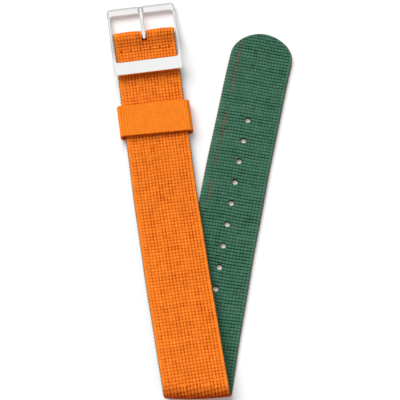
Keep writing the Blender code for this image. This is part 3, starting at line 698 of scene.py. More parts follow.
def trimStrap(along, across):
    # quads to keep, with edge points drawn onto the holes, the tip and the tang's slot
    keep = np.ones((along.shape[0] - 1, along.shape[1] - 1), bool)

    def middles(values):
        return (values[:-1, :-1] + values[1:, :-1] + values[:-1, 1:] + values[1:, 1:]) / 4

    def bordering():
        around = np.zeros(along.shape, int)
        for down in (0, 1):
            for right in (0, 1):
                around[down:down + keep.shape[0], right:right + keep.shape[1]] += keep
        return (around > 0) & (around < 4)

    middleAlong, middleAcross = middles(along), middles(across)
    radius = webbing["holeRadius"]
    for number in range(webbing["holeCount"]):
        centre = holePlace(number)
        keep &= np.hypot(middleAlong - centre, middleAcross) > radius
        reach = np.maximum(np.hypot(along - centre, across), radius / 100)
        stretch = np.where(bordering() & (reach < radius * weave["snap"]), radius / reach, 1)
        along[...] = centre + (along - centre) * stretch
        across[...] = across * stretch
    keep &= (middleAlong > tipStart) | (np.hypot((middleAlong - tipStart) / tipReach,
                                                 middleAcross / tipHalf) < 1)
    reach = np.hypot((along - tipStart) / tipReach, across / tipHalf)
    onRim = bordering() & (along < tipStart) & (reach > weave["tipSnap"])
    stretch = np.where(onRim, 1 / np.maximum(reach, 0.1), 1)
    along[...] = np.where(onRim, tipStart + (along - tipStart) * stretch, along)
    across[...] = across * stretch
    half = webbing["slotWidth"] / 2
    keep &= ~((np.abs(middleAcross) < half) & (middleAlong > slotLow) & (middleAlong < slotHigh))
    inside = bordering() & (np.abs(across) < half * weave["snap"])
    inside &= (along > slotLow + rowStep) & (along < slotHigh - rowStep)
    across[...] = np.where(inside, np.sign(across) * half, across)
    return keep


def fromRim(across, along):
    # distance from the nearest melted edge: a hole, the tip, the slot or the flap's end
    number = np.rint((-along - webbing["firstHole"]) / webbing["holePitch"])
    centre = holePlace(np.clip(number, 0, webbing["holeCount"] - 1))
    away = np.abs(np.hypot(along - centre, across) - webbing["holeRadius"])
    reach = np.hypot((along - tipStart) / tipReach, across / tipHalf)
    away = np.where(along < tipStart, np.minimum(away, np.abs(1 - reach) * tipReach), away)
    fromSlot = np.hypot(np.maximum(np.abs(across) - webbing["slotWidth"] / 2, 0),
                        np.maximum(np.maximum(slotLow - along, along - slotHigh), 0))
    return np.minimum(np.minimum(away, fromSlot), np.abs(clothEnd - along))


def seamPull(across, along):
    # where the stitches draw the cloth down, on the head and on the flap below it
    usable = webbing["loopWidth"] - 2 * seam["margin"]
    pull = np.zeros(along.shape)
    inside = easeShare(usable / 2 + seam["dipSpread"] - np.abs(across), 0, seam["dipSpread"])
    for middle, dip in ((webbing["barPlace"] - seam["place"], seam["dip"]),
                        (slotHigh + seam["place"], seam["underDip"])):
        away = along - middle
        pull = np.maximum(pull, dip * np.exp(-(away / seam["dipSpread"]) ** 2) * inside)
        for number in range(seam["stitches"] + 1):
            needle = usable * (number / seam["stitches"] - 0.5) - seam["pitShift"]
            reach = np.hypot(away, across - needle)
            pull = np.maximum(pull, seam["pit"] * np.exp(-(reach / seam["pitSpread"]) ** 2))
    return pull


def loopFullness(across, along):
    slotHalf, half = webbing["slotWidth"] / 2, webbing["loopWidth"] / 2
    share = (np.abs(across) - (half + slotHalf) / 2) / ((half - slotHalf) / 2)
    overBar = np.exp(-((along - loopStart - webbing["swellPlace"]) / webbing["swellReach"]) ** 2)
    return webbing["loopSwell"] * (1 - 2 * share ** 2) * overBar


def foldCuts():
    # wrap distances where the fold's pieces meet
    lead = midRadius * linkTurn / 2
    cuts = [-halfWrap - lead]
    cuts += [-halfWrap + midRadius * linkTurn * (link + 0.5) for link in range(webbing["foldLinks"])]
    return cuts + [rampStart + lead]


def pieceNumbers(cloth, cuts):
    # the piece that each polygon belongs to, counted from the tip
    across, along = polygonMiddles(cloth, cloth["across"]), polygonMiddles(cloth, cloth["along"])
    station = np.where(np.abs(along) < webbing["width"], layOut(along, across)[0], along)
    stops = [webbing["tailSplit"], webbing["headSplit"], webbing["barPlace"] - webbing["flapLength"]]
    for number, stop in enumerate(stops):
        whole = round((stop + webbing["tailLength"]) / yarnPitch)
        stops[number] = whole * yarnPitch - webbing["tailLength"]
    return np.searchsorted(stops[:1] + cuts + stops[1:], station)


def wander(across, along):
    # slow sideways and lengthways sway of the yarns, none within the fold or the loop
    column, row = strapYarns(across, along)
    free = easeShare(np.abs(along), *weave["wanderFree"])
    free = free * easeShare(loopStart - along, 0, webbing["flapLength"])
    for reach, waves in (weave["sway"], weave["drift"]):
        yield free * reach * sum(np.sin(column * a + row * b + start) for a, b, start in waves)


def weaveStrap():
    rows = np.linspace(-webbing["tailLength"], clothEnd, rowCount + 1)
    columns = weave["columns"] * weave["samples"] + 1
    across = np.linspace(-1, 1, columns)[None, :] * (halfWidth(rows)[:, None] - weave["edgeBulge"])
    along = np.repeat(rows[:, None], columns, axis=1)
    keep = trimStrap(along, across)
    half, cuts = webbing["width"] / 2, foldCuts()
    scores = [((-half, alongAtWrap(cut, -half)), (half, alongAtWrap(cut, half))) for cut in cuts]
    cloth = flatCloth(across, along, keep, scores)
    cloth["group"], cloth["yarns"] = pieceNumbers(cloth, cuts), strapYarns
    across, along = cloth["across"], cloth["along"]
    away = fromRim(across, along)
    flat = easeShare(away, 0, weave["sealZone"])
    outerRise = strapRise(across, along, 0) * flat - seamPull(across, along)
    innerRise = strapRise(across, along, 1) * flat
    pierced = (np.abs(across) < webbing["holeRadius"] * 2) & (along > holePlace(webbing["holeCount"]))
    pierced &= along < clothEnd - webbing["restGap"]
    swing = np.cos(2 * math.pi * strapYarns(across, along)[1])
    bump = 1 + weave["edgeBump"] * swing * (away > weave["sealZone"])
    bulge = weave["edgeBulge"] * np.where(pierced, weave["rimBulge"], bump)
    sideways, lengthways = wander(across, along)
    cloth["across"], cloth["along"] = across + sideways, along + lengthways
    depth = sum(weave["columnGaps"][0]) / 2 + weave["rowGaps"][0][1]
    rim = np.where(along < 0, weave["rimCrest"], weave["slotCrest"])
    wall = np.where(pierced, rim, weave["edgeCrest"][0] + weave["edgeCrest"][1] * swing)
    raiseCloth(cloth, placeWebbing, webbing["thickness"] / 2, outerRise, innerRise,
               loopFullness(across, along), bulge, depth, wall)
    # pierced rims darken towards the cut: melted rims, with painted shade in the holes
    for face in ("outerCrest", "innerCrest"):
        cloth[face] = cloth[face] - pierced * (1 - easeShare(away, 0, weave["sealZone"] / 2))
    wrap = np.where(np.abs(along) < webbing["width"], layOut(along, across)[0], webbing["width"])
    # painted shade over the round of the fold, on the outer face only
    low, begin, end = weave["paintedFoldReach"]
    foldShadeShare = easeShare(wrap, low, begin) * (1 - easeShare(wrap, begin, end))
    cloth["outerCrest"] = cloth["outerCrest"] - weave["paintedFoldShade"] * foldShadeShare
    return cloth


def addWebbing(outside, inside):
    cloth = weaveStrap()
    links = ["tail"] + ["fold_%d" % (link + 1) for link in range(webbing["foldLinks"])] + ["head"]
    names = ["webbing_tail_tip", "webbing_tail_root"]
    names += ["webbing_fold_%d" % (number + 1) for number in range(len(links) - 1)]
    names += ["webbing_head_rise", "webbing_head_flat", "webbing_loop"]
    pieces = {}
    for number, name in enumerate(names):
        piece = clothPiece(name, cloth, cloth["group"] == number)
        piece.data.materials.append(outside)
        piece.data.materials.append(inside)
        "green_webbing" if "tail" in name else "orange_webbing"
        pieces[name] = piece
    for name, body in (("webbing_tail_tip", "tail"), ("webbing_tail_root", "tail"),
                       ("webbing_head_rise", "head"), ("webbing_head_flat", "head"),
                       ("webbing_loop", "head")):
        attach(pieces[name], body)
    for number in range(len(links) - 1):
        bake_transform(pieces["webbing_fold_%d" % (number + 1)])
    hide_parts("tail_webbing")
    for link in range(webbing["foldLinks"]):
        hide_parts("fold_webbing_%d" % (link + 1))
    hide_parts("head_webbing")
    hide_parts("loop_webbing")
    bpy.data.meshes.remove(cloth["mesh"])
    print("webbing woven, polygons:", sum(len(piece.data.polygons) for piece in pieces.values()))


# Cloth finishes: on top of a yarn, down between yarns with painted shade, and at the edge
clothFinish = {
    "orange": {"crest": (1.0, 0.250, 0.024, 1), "valley": (0.46, 0.040, 0.0, 1),
               "edge": (0.58, 0.30, 0.085, 1), "mottle": (0.90, 1.05)},
    "green": {"crest": (0.068, 0.188, 0.120, 1), "valley": (0.002, 0.026, 0.012, 1),
              "edge": (0.165, 0.165, 0.115, 1), "mottle": (0.86, 1.08)},
    "keeper": {"crest": (1.0, 0.266, 0.022, 1), "valley": (0.66, 0.090, 0.002, 1),
               "edge": (1.0, 0.27, 0.02, 1), "mottle": (0.95, 1.03)},
    "meltedAndShaded": (0.030, 0.012, 0.006, 1),          # painted shade in needle holes, the deepest yarn gaps, the fold, hole walls and low places on the selvedge; also the melted rims of pierced holes
    "fleck": (0.20, 0.085, 0.06, 1),
    "fleckColumn": 2.4,
    "fleckWidth": 0.4,
    "lit": (0.15, 0.92),                        # crest heights from valley colour to crest colour, painting shade into the gaps between yarns
    "meltedAndShadedBelow": (-0.6, 0.1),
    "edgeReach": (-0.1, 0.2, 0.0, 0.9),         # yarns past the last column, and how much it shows
    "driftScale": 0.16,                         # per yarn
    "drift": (0.3, 0.7, 0.95, 1.04),
    "fleckScale": 0.09,
    "fleckRuns": (0.42, 0.55, 0.0, 0.6),
    "strayFlecks": (0.93, 0.94, 0.0, 0.15),
    "roughness": (0.2, 0.8, 0.58, 0.78),
    "specular": 0.05,
    "fibreStretch": (16, 1.6, 1),
    "bumpStrength": 0.35,
    "bumpDepth": 0.00005,
}


def clothMaterial(name, finish, columns=0, flecks=False):
    material, tree, shader = newMaterial(name)
    yarns = addNode(tree, "ShaderNodeAttribute", attribute_name="yarns").outputs["Vector"]
    crest = addNode(tree, "ShaderNodeAttribute", attribute_name="crest").outputs["Fac"]
    # painted shade: low places on the yarns take the darker valley colour
    height = remap(tree, crest, *clothFinish["lit"])
    colour = mixColours(tree, height, finish["valley"], finish["crest"])
    axes = addNode(tree, "ShaderNodeSeparateXYZ")
    feed(tree, axes.inputs[0], yarns)
    column, row = axes.outputs["X"], axes.outputs["Y"]
    if columns:
        away = maths(tree, "ABSOLUTE", maths(tree, "SUBTRACT", column, columns / 2))
        begin, end, none, most = clothFinish["edgeReach"]
        onEdge = remap(tree, away, columns / 2 + begin, columns / 2 + end, none, most)
        # painted shade on the low places of the selvedge
        shaded = mixColours(tree, height, clothFinish["meltedAndShaded"], finish["edge"])
        colour = mixColours(tree, onEdge, colour, shaded)
    cell = addNode(tree, "ShaderNodeVectorMath", operation="FLOOR")
    feed(tree, cell.inputs[0], yarns)
    each = addNode(tree, "ShaderNodeTexWhiteNoise", noise_dimensions="3D")
    feed(tree, each.inputs["Vector"], cell.outputs[0])
    each = each.outputs["Value"]
    shade = remap(tree, each, 0.0, 1.0, *finish["mottle"])
    drift = remap(tree, noise(tree, yarns, clothFinish["driftScale"], 3.0), *clothFinish["drift"])
    colour = mixColours(tree, 1.0, colour, maths(tree, "MULTIPLY", shade, drift), "MULTIPLY")
    if flecks:
        away = maths(tree, "ABSOLUTE", maths(tree, "SUBTRACT", column, clothFinish["fleckColumn"]))
        runs = noise(tree, yarns, clothFinish["fleckScale"], 1.0)
        showing = remap(tree, runs, *clothFinish["fleckRuns"])
        near = maths(tree, "LESS_THAN", away, clothFinish["fleckWidth"])
        strayed = remap(tree, each, *clothFinish["strayFlecks"])
        share = maths(tree, "MAXIMUM", maths(tree, "MULTIPLY", near, showing), strayed)
        colour = mixColours(tree, maths(tree, "MULTIPLY", share, height), colour, clothFinish["fleck"])
    # painted shade where the crest is lowest, and the melted rims of pierced holes
    colour = mixColours(tree, remap(tree, crest, *clothFinish["meltedAndShadedBelow"]), clothFinish["meltedAndShaded"], colour)
    feed(tree, shader.inputs["Base Color"], colour)
    count = maths(tree, "ADD", maths(tree, "FLOOR", column), maths(tree, "FLOOR", row))
    long, short, flat = clothFinish["fibreStretch"]
    fibre = addNode(tree, "ShaderNodeMix", data_type="FLOAT")
    feed(tree, fibre.inputs[0], maths(tree, "FLOORED_MODULO", count, 2.0))
    feed(tree, fibre.inputs[2], noise(tree, yarns, 1.0, 2.0, stretch=(long, short, flat)))
    feed(tree, fibre.inputs[3], noise(tree, yarns, 1.0, 2.0, stretch=(short, long, flat)))
    fibre = fibre.outputs[0]
    addBump(tree, shader, fibre, clothFinish["bumpStrength"], clothFinish["bumpDepth"])
    feed(tree, shader.inputs["Roughness"], remap(tree, fibre, *clothFinish["roughness"]))
    shader.inputs["Specular IOR Level"].default_value = clothFinish["specular"]
    return material


addWebbing(clothMaterial("orangeCloth", clothFinish["orange"], columns=weave["columns"]),
           clothMaterial("greenCloth", clothFinish["green"], columns=weave["columns"], flecks=True))


# Keeper: a finer ribbed band closed round the strap
keeper = {
    "place": 0.09065,
    "forward": 0.00085,
    "length": 0.0104,
    "wall": 0.0010,
    "sideClearance": 0.00055,
    "underGap": 0.0005,
    "corner": 0.0014,
    "seamGap": 0.0003,
    "skew": math.radians(-1.8),        # it sits a little askew
    "sag": 0.0009,                      # the soft band lies low on the strap
    "rib": 0.00078,                     # across the band
    "row": 0.00084,
    "samples": 6,
    "ribDepth": 0.00006,
    "endRibDepth": 0.00014,
    "endZone": 0.0030,
    "rowDepth": 0.00004,
    "overRise": 0.6,                    # of that, from a yarn that is up to one that is down
    "uneven": 0.12,
    "unevenTurns": (1.7, 0.9),          # per rib and per row
    "nudge": 0.01,                      # of a yarn, so that its first mesh row counts as its own
    "innerShare": 0.6,                  # of the relief, on the side that lies on the strap
    # painted shade on the band's edges, as on the strap's
    "wallCrest": 0.45,
    "pathPoints": 4001,
    "ragged": 0.00010,
    "edgeBulge": 0.00018,
}

keeperHalf = webbing["width"] / 2 + keeper["sideClearance"] + keeper["wall"] / 2
keeperLow = webbing["thickness"] + webbing["restGap"] - keeper["underGap"] - keeper["wall"] / 2
keeperHigh = headTop + webbing["thickness"] + webbing["restGap"] + keeper["wall"] / 2
keeperCorner = keeper["corner"] - keeper["wall"] / 2
keeperFrame = np.array(headFrame(keeper["place"], 0))
ringBend = keeperCorner * math.pi / 2
ringFlat = keeperHalf - keeperCorner
ringUpright = keeperHigh - keeperLow - 2 * keeperCorner
ringStops = np.cumsum((0, ringFlat, ringBend, ringUpright, ringBend, 2 * ringFlat, ringBend,
                       ringUpright, ringBend, ringFlat))
ringTurns = np.array((0, 0, 1, 1, 2, 2, 3, 3, 4, 4)) * math.pi / 2


def keeperPath(around):
    # X, Z and heading at a distance round the band from the middle of its underside
    fine = np.linspace(0, ringStops[-1], keeper["pathPoints"])
    heading = np.interp(fine, ringStops, ringTurns)
    middle = (heading[1:] + heading[:-1]) / 2
    step = fine[1]
    x = np.append(0, np.cumsum(np.cos(middle) * step))
    z = keeperLow + np.append(0, np.cumsum(np.sin(middle) * step))
    return np.interp(around, fine, x), np.interp(around, fine, z), np.interp(around, ringStops, ringTurns)


def placeKeeper(around, across, height):
    x, z, heading = keeperPath(around)
    sag = keeper["sag"] * easeShare(z, keeperLow, keeperHigh)
    x, z = x + np.sin(heading) * height, z - np.cos(heading) * height - sag
    local = np.stack((x, across + keeper["forward"] + x * math.tan(keeper["skew"]), z), -1)
    return local @ keeperFrame[:3, :3].T + keeperFrame[:3, 3]


def keeperYarns(across, around):
    return around / keeper["rib"], (across + keeper["length"] / 2) / keeper["row"]


def keeperRise(across, around):
    column, row = keeperYarns(across, around)
    x = keeperPath(around)[0]
    atEnd = easeShare(np.abs(x), keeperHalf - keeper["endZone"], keeperHalf - keeper["endZone"] / 3)
    ribDepth = keeper["ribDepth"] + (keeper["endRibDepth"] - keeper["ribDepth"]) * atEnd
    perRib, perRow = keeper["unevenTurns"]
    uneven = 1 + keeper["uneven"] * np.sin(column * perRib) * np.sin(row * perRow)
    over = (np.floor(column + keeper["nudge"]) + np.floor(row + keeper["nudge"])) % 2
    cross = np.abs(2 * (row % 1) - 1) ** 2 + keeper["overRise"] * over
    cross = keeper["rowDepth"] * (1 - atEnd) * cross
    return -ribDepth * uneven * np.abs(2 * (column % 1) - 1) ** 2 - cross


def addKeeper(finish):
    low, high = keeper["seamGap"] / 2, ringStops[-1] - keeper["seamGap"] / 2
    columns = round((high - low) / keeper["rib"]) * keeper["samples"]
    reach = keeper["length"] / 2 - keeper["edgeBulge"]
    rows = round(2 * reach / keeper["row"]) * keeper["samples"]
    around, across = np.meshgrid(np.linspace(low, high, columns + 1),
                                 np.linspace(-reach, reach, rows + 1), indexing="ij")
    cloth = flatCloth(across, around, np.ones((columns, rows), bool))
    across, around = cloth["across"], cloth["along"]
    rise = keeperRise(across, around)
    ragged = keeper["ragged"] * chance.uniform(-1, 1, int(ringStops[-1] / keeper["rib"]) + 2)
    column = np.clip(np.floor(around / keeper["rib"]).astype(int), 0, len(ragged) - 1)
    bulge = keeper["edgeBulge"] + ragged[column] * np.sin(math.pi * ((around / keeper["rib"]) % 1))
    raiseCloth(cloth, placeKeeper, keeper["wall"] / 2, rise, rise * keeper["innerShare"],
               np.zeros(len(rise)), bulge, (keeper["ribDepth"] + keeper["rowDepth"]) * 2,
               keeper["wallCrest"])
    cloth["yarns"] = keeperYarns
    band = clothPiece("keeper_band", cloth, np.ones(len(cloth["starts"]), bool))
    band.data.materials.append(finish)
    band.data.polygons.foreach_set("material_index", np.zeros(len(band.data.polygons), np.int32))
    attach(band, "keeper")
    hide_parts("keeper_loop")
    bpy.data.meshes.remove(cloth["mesh"])
    print("keeper woven, polygons:", len(band.data.polygons))


addKeeper(clothMaterial("keeperCloth", clothFinish["keeper"]))


# Shapes swept along a path that lies in one plane
sharpAngle = math.radians(50)


def addPiece(name, places, faces, turn, finish):
    mesh = bpy.data.meshes.new(name)
    mesh.from_pydata([tuple(place) for place in places], [], faces)
    mesh.transform(turn)
    mesh.update()
    mesh.shade_smooth()
    mesh.set_sharp_from_angle(angle=sharpAngle)
    mesh.materials.append(finish)
    piece = bpy.data.objects.new(name, mesh)
    scene.collection.objects.link(piece)
    return piece


def sweep(path, square, section):
    # square is the direction across the path's plane, section gives each row's offsets
    path = np.asarray(path, float)
    ahead = np.gradient(path, axis=0)
    ahead /= np.linalg.norm(ahead, axis=1)[:, None]
    upward = np.cross(ahead, square)
    upward /= np.linalg.norm(upward, axis=1)[:, None]
    aside = np.cross(upward, ahead)
    gone = np.append(0, np.cumsum(np.linalg.norm(np.diff(path, axis=0), axis=1)))
    offsets = np.stack([section(length) for length in gone])
    count = offsets.shape[1]
    places = path[:, None] + aside[:, None] * offsets[:, :, :1] + upward[:, None] * offsets[:, :, 1:]
    faces = []
    for row in range(len(path) - 1):
        for point in range(count):
            beside = (point + 1) % count
            here, there = row * count, (row + 1) * count
            faces.append((here + point, there + point, there + beside, here + beside))
    faces.append(tuple(range(count)))
    faces.append(tuple(reversed(range((len(path) - 1) * count, len(path) * count))))
    return places.reshape(-1, 3), faces


# Buckle frame, measured from the middle of the spring bar
buckle = {
    "windowWidth": 0.0203,
    "sideWall": 0.00085,
    "windowCorner": 0.0011,
    "frameCorner": 0.0011,
    "frontInner": 0.0084,
    "frontLength": 0.0025,
    "frontHeight": 0.0022,
    "frontCrown": 0.00022,
    "rearInner": 0.0092,
    "rearLength": 0.0043,
    "rearHeight": 0.0011,
    "rearCrown": 0.00005,
    "sideHeight": 0.0021,
    "riseStart": 0.0020,
    "edge": 0.00032,
    "windowEdge": 0.00014,
    "edgeSteps": 5,
    "topLines": 7,
    "sideRows": 60,
    "cornerRows": (6, 9, 4),    # beside an outer corner, round it and at its other end
    "rearRows": 12,
    "frontRows": 10,
    "grooveRows": 15,
    "grooveReach": 1.1,         # of its radius, with the closer rows
    "frontRise": 0.85,          # share of the way to a bar where its height or crown begins
    "rearRise": 0.9,
    "grooveDepth": 0.0005,
    "grooveRadius": 0.0011,
    "boreRadius": 0.00038,
    "boreSides": 32,
}

windowHalf = buckle["windowWidth"] / 2
frameHalf = windowHalf + buckle["sideWall"]
frontEnd = buckle["frontInner"] + buckle["frontLength"]
rearEnd = buckle["rearInner"] + buckle["rearLength"]
rearMiddle = headTop + webbing["thickness"] + webbing["restGap"] + buckle["rearHeight"] / 2
barFrame = Matrix.Translation(joints["buckle_swing"]["pos_m"]) @ Matrix.Rotation(headTurn, 4, "Z")


def frameHeights(x, y):
    # underside and top of the frame at a place seen from above, over the spring bar's middle
    eased = 1 - easeShare(y, -buckle["rearInner"], buckle["riseStart"])
    frontMiddle = buckle["frontHeight"] / 2
    low = frontMiddle + (barHeight - frontMiddle) * (1 - easeShare(y, 0, buckle["frontInner"]))
    middle = low + (rearMiddle - low) * eased - barHeight
    onFront = easeShare(y, buckle["frontInner"] * buckle["frontRise"], buckle["frontInner"])
    height = buckle["sideHeight"] + (buckle["rearHeight"] - buckle["sideHeight"]) * eased
    height = height + (buckle["frontHeight"] - buckle["sideHeight"]) * onFront
    radius = buckle["grooveRadius"]
    groove = buckle["grooveDepth"] - radius + np.sqrt(np.maximum(radius ** 2 - x ** 2, 0))
    return middle - height / 2, middle + height / 2 - crownAt(y) - np.maximum(groove, 0) * onFront


def framePath(window, grow):
    # half an outline of the window or of the frame, from the rear bar's middle to the front bar's
    corner = buckle["windowCorner" if window else "frameCorner"]
    half, front, rear = ((windowHalf, buckle["frontInner"], buckle["rearInner"]) if window
                         else (frameHalf, frontEnd, rearEnd))
    startX = windowHalf - buckle["windowCorner"]
    lowY = buckle["windowCorner"] - buckle["rearInner"]
    highY = buckle["frontInner"] - buckle["windowCorner"]
    runs = buckle["cornerRows"]
    turns = np.linspace(0, math.pi / 2, (sum(runs) if window else runs[1]) + 1)
    arcX = half - corner + (corner + grow) * np.sin(turns)
    arcY = (corner + grow) * np.cos(turns)
    points = [(x, -rear - grow) for x in np.linspace(0, startX, buckle["rearRows"], endpoint=False)]
    rearArc = list(zip(arcX, corner - rear - arcY))
    frontArc = list(zip(arcX[::-1], front - corner + arcY[::-1]))
    if window:
        points += rearArc[:-1]
    else:
        points += [(x, -rear - grow) for x in np.linspace(startX, half - corner, runs[2], endpoint=False)]
        points += rearArc
        points += [(half + grow, y) for y in np.linspace(corner - rear, lowY, runs[0] + 1)[1:-1]]
    points += [(half + grow, y) for y in np.linspace(lowY, highY, buckle["sideRows"] + 1)]
    if window:
        points += frontArc[1:]
    else:
        points += [(half + grow, y) for y in np.linspace(highY, front - corner, runs[0] + 1)[1:-1]]
        points += frontArc
        points += [(x, front + grow) for x in np.linspace(half - corner, startX, runs[2] + 1)[1:]]
    reach = buckle["grooveRadius"] * buckle["grooveReach"]
    points += [(x, front + grow) for x in np.linspace(startX, reach, buckle["frontRows"])[1:]]
    points += [(x, front + grow) for x in np.linspace(reach, 0, buckle["grooveRows"])[1:]]
    return np.array(points)


def edgeLines(window, top, turns):
    # lines round one edge of the frame's section, on its flat face where the turn is 0
    edge = buckle["windowEdge" if window else "edge"]
    for turn in turns:
        back, drop = edge * (1 - math.sin(turn)), edge * (1 - math.cos(turn))
        path = framePath(window, back if window else -back)
        low, high = frameHeights(*path.T)
        yield path, (high - drop if top else low + drop)


def frameLines():
    # closed lines round the frame, in order round its section, as places and heights
    turns = np.linspace(0, math.pi / 2, buckle["edgeSteps"] + 1)
    yield from edgeLines(False, False, turns)
    yield from edgeLines(False, True, turns[::-1])
    outside, inside = framePath(False, -buckle["edge"]), framePath(True, buckle["windowEdge"])
    for line in range(1, buckle["topLines"]):
        share = line / buckle["topLines"]
        path = outside + (inside - outside) * share
        bulge = 1 - (2 * share - 1) ** 2
        yield path, frameHeights(*path.T)[1] + bulge * crownAt(path[:, 1])
    yield from edgeLines(True, True, turns)
    yield from edgeLines(True, False, turns[::-1])


def crownAt(y):
    front = easeShare(y, buckle["frontInner"] * buckle["frontRise"], buckle["frontInner"])
    rear = easeShare(-y, buckle["rearInner"] * buckle["rearRise"], buckle["rearInner"])
    return buckle["frontCrown"] * front + buckle["rearCrown"] * rear


def addBuckle(finish):
    lines = []
    for path, height in frameLines():
        line = np.column_stack((path, height))
        mirrored = line[-2:0:-1] * (-1, 1, 1)
        lines.append(np.concatenate((line, mirrored)))
    count, faces = len(lines[0]), []
    for number in range(len(lines)):
        here, there = number * count, (number + 1) % len(lines) * count
        for point in range(count):
            beside = (point + 1) % count
            faces.append((here + point, here + beside, there + beside, there + point))
    frameBody = addPiece("buckle_body", np.concatenate(lines), faces, barFrame, finish)
    bore = bmesh.new()
    bmesh.ops.create_cone(bore, cap_ends=True, segments=buckle["boreSides"], depth=frameHalf * 2.2,
                          radius1=buckle["boreRadius"], radius2=buckle["boreRadius"])
    mesh = bpy.data.meshes.new("bore")
    bore.to_mesh(mesh)
    bore.free()
    mesh.transform(barFrame @ Matrix.Rotation(math.pi / 2, 4, "Y"))
    cutter = bpy.data.objects.new("bore", mesh)
    scene.collection.objects.link(cutter)
    drill = frameBody.modifiers.new("drill", "BOOLEAN")
    drill.operation, drill.object, drill.solver = "DIFFERENCE", cutter, "EXACT"
    drawn = frameBody.evaluated_get(bpy.context.evaluated_depsgraph_get())
    drilled = bpy.data.meshes.new_from_object(drawn)
    frameBody.modifiers.clear()
    frameBody.data = drilled
    bpy.data.objects.remove(cutter)
    drilled.shade_smooth()
    drilled.set_sharp_from_angle(angle=sharpAngle)
    frameBody.modifiers.new("evenShading", "WEIGHTED_NORMAL").keep_sharp = True
    drilled.materials.clear()
    drilled.materials.append(finish)
    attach(frameBody, "buckle")
    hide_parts("buckle_frame")
    print("buckle frame made, polygons:", len(drilled.polygons))


# Tang: a flat strip rolled round the spring bar, its tip bedded in the front bar
tang = {
    "width": 0.0011,
    "tipWidth": 0.0008,
    "thickness": 0.0006,
    "clearance": 0.0002,
    "endSetback": 0.0008,
    "flat": 0.0022,
    "roll": math.radians(288),
    "taper": 0.0030,
    "tipRound": 0.0004,
    "tipRows": 7,
    "flatRows": 8,
    "shankRows": 40,
    "rollRows": 56,
    "sides": 28,
    "squareness": 0.45,
    "tipLeast": 0.1,            # of its section, at the very tip
}


def addTang(finish):
    grooveFloor = buckle["frontHeight"] - barHeight - buckle["grooveDepth"]
    tip = frontEnd - tang["endSetback"]
    low = grooveFloor + tang["clearance"] + tang["thickness"] / 2
    eye = webbing["barRadius"] + tang["clearance"] + tang["thickness"] / 2
    flatEnd = tip - tang["flat"]
    turns = np.linspace(math.pi / 2, 0, tang["tipRows"])
    roundPart = tip - tang["tipRound"] * (1 - np.sin(turns))
    points = [(0, forward, low) for forward in roundPart]
    points += [(0, forward, low) for forward in np.linspace(roundPart[-1], flatEnd, tang["flatRows"])[1:]]
    for share in np.linspace(0, 1, tang["shankRows"] + 1)[1:]:
        a, b, c, d = curveShares(share)
        points.append((0, flatEnd * (a - b - d), low * a + eye * c))
    for turn in math.pi / 2 + np.linspace(0, tang["roll"], tang["rollRows"] + 1)[1:]:
        points.append((0, eye * math.cos(turn), eye * math.sin(turn)))
    angles = np.linspace(0, 2 * math.pi, tang["sides"], endpoint=False)
    sideways, upward = [np.sign(wave) * np.abs(wave) ** tang["squareness"]
                        for wave in (np.cos(angles), np.sin(angles))]

    def section(length):
        widen = min(length / tang["taper"], 1)
        half = (tang["tipWidth"] + (tang["width"] - tang["tipWidth"]) * widen) / 2
        atTip = max(1 - length / tang["tipRound"], 0)
        close = math.sqrt(max(1 - atTip ** 2, tang["tipLeast"] ** 2))
        return np.column_stack((sideways * half * close, upward * tang["thickness"] / 2 * close))

    places, faces = sweep(points, (1, 0, 0), section)
    prong = addPiece("tang_prong", places, faces, barFrame, finish)
    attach(prong, "tang")
    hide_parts("buckle_tang")
    print("tang made, polygons:", len(prong.data.polygons))


# Sewing thread, two plies laid round each other
thread = {
    "radius": 0.00024,
    "keeperRadius": 0.00012,
    "plyPitch": 0.0009,
    "plyDepth": 0.20,
    "rise": 0.00011,                    # top of a stitch over the cloth round it
    "sink": 0.00080,
    "sinkReach": 0.00048,
    "step": 0.00006,
    "underLift": 1.15,                  # radii from the table to the middle of the thread below
    "sides": 14,
    "keeperStitches": 9,
    "keeperSpan": 0.0024,
    "keeperRows": 40,                   # to a stitch
    "keeperTuck": 6,                    # higher makes a shorter tuck at each turn of the zigzag
}


def plySection(radius):
    angles = np.linspace(0, 2 * math.pi, thread["sides"], endpoint=False)

    def section(length):
        turn = 2 * math.pi * length / thread["plyPitch"]
        reach = radius * (1 - thread["plyDepth"] * (1 - np.cos(2 * (angles - turn))) / 2)
        return np.column_stack((reach * np.cos(angles), reach * np.sin(angles)))

    return section


def addSeam(finish):
    usable = webbing["loopWidth"] - 2 * seam["margin"]
    pitch = usable / seam["stitches"]
    x = np.linspace(-usable / 2, usable / 2, round(usable / thread["step"]))
    fromNeedle = np.abs((x + usable / 2 + pitch / 2) % pitch - pitch / 2)
    lying = easeShare(fromNeedle, 0, thread["sinkReach"])
    top = headTop + thread["rise"] - thread["radius"] - barHeight
    under = thread["radius"] * thread["underLift"] - barHeight
    for name, level, way in (("seam_thread_top", top, -1), ("seam_thread_under", under, 1)):
        path = np.column_stack((x, np.full(len(x), -seam["place"]),
                                level + way * thread["sink"] * (1 - lying)))
        places, faces = sweep(path, (0, 1, 0), plySection(thread["radius"]))
        stitches = addPiece(name, places, faces, barFrame, finish)
        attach(stitches, "head")
        if name == "seam_thread_top":
            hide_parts("loop_stitching")
    print("seam sewn, stitches:", seam["stitches"])


def addKeeperSeam(finish):
    floor = keeperLow + keeper["wall"] / 2
    count = thread["keeperStitches"]
    share = np.linspace(0, count - 1, thread["keeperRows"] * (count - 1))
    x = -thread["keeperSpan"] / 2 * np.cos(math.pi * share)
    y = keeper["length"] * ((share + 1) / (count + 1) - 0.5)
    tuck = np.abs(np.cos(math.pi * share)) ** thread["keeperTuck"]
    z = floor + keeper["underGap"] / 2 - thread["keeperRadius"] * 2 * tuck
    places, faces = sweep(np.column_stack((x, y, z)), (0, 0, 1), plySection(thread["keeperRadius"]))
    zigzag = addPiece("keeper_thread", places, faces, headFrame(keeper["place"], 0), finish)
    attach(zigzag, "keeper")
    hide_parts("keeper_stitching")
    print("keeper's ends joined")


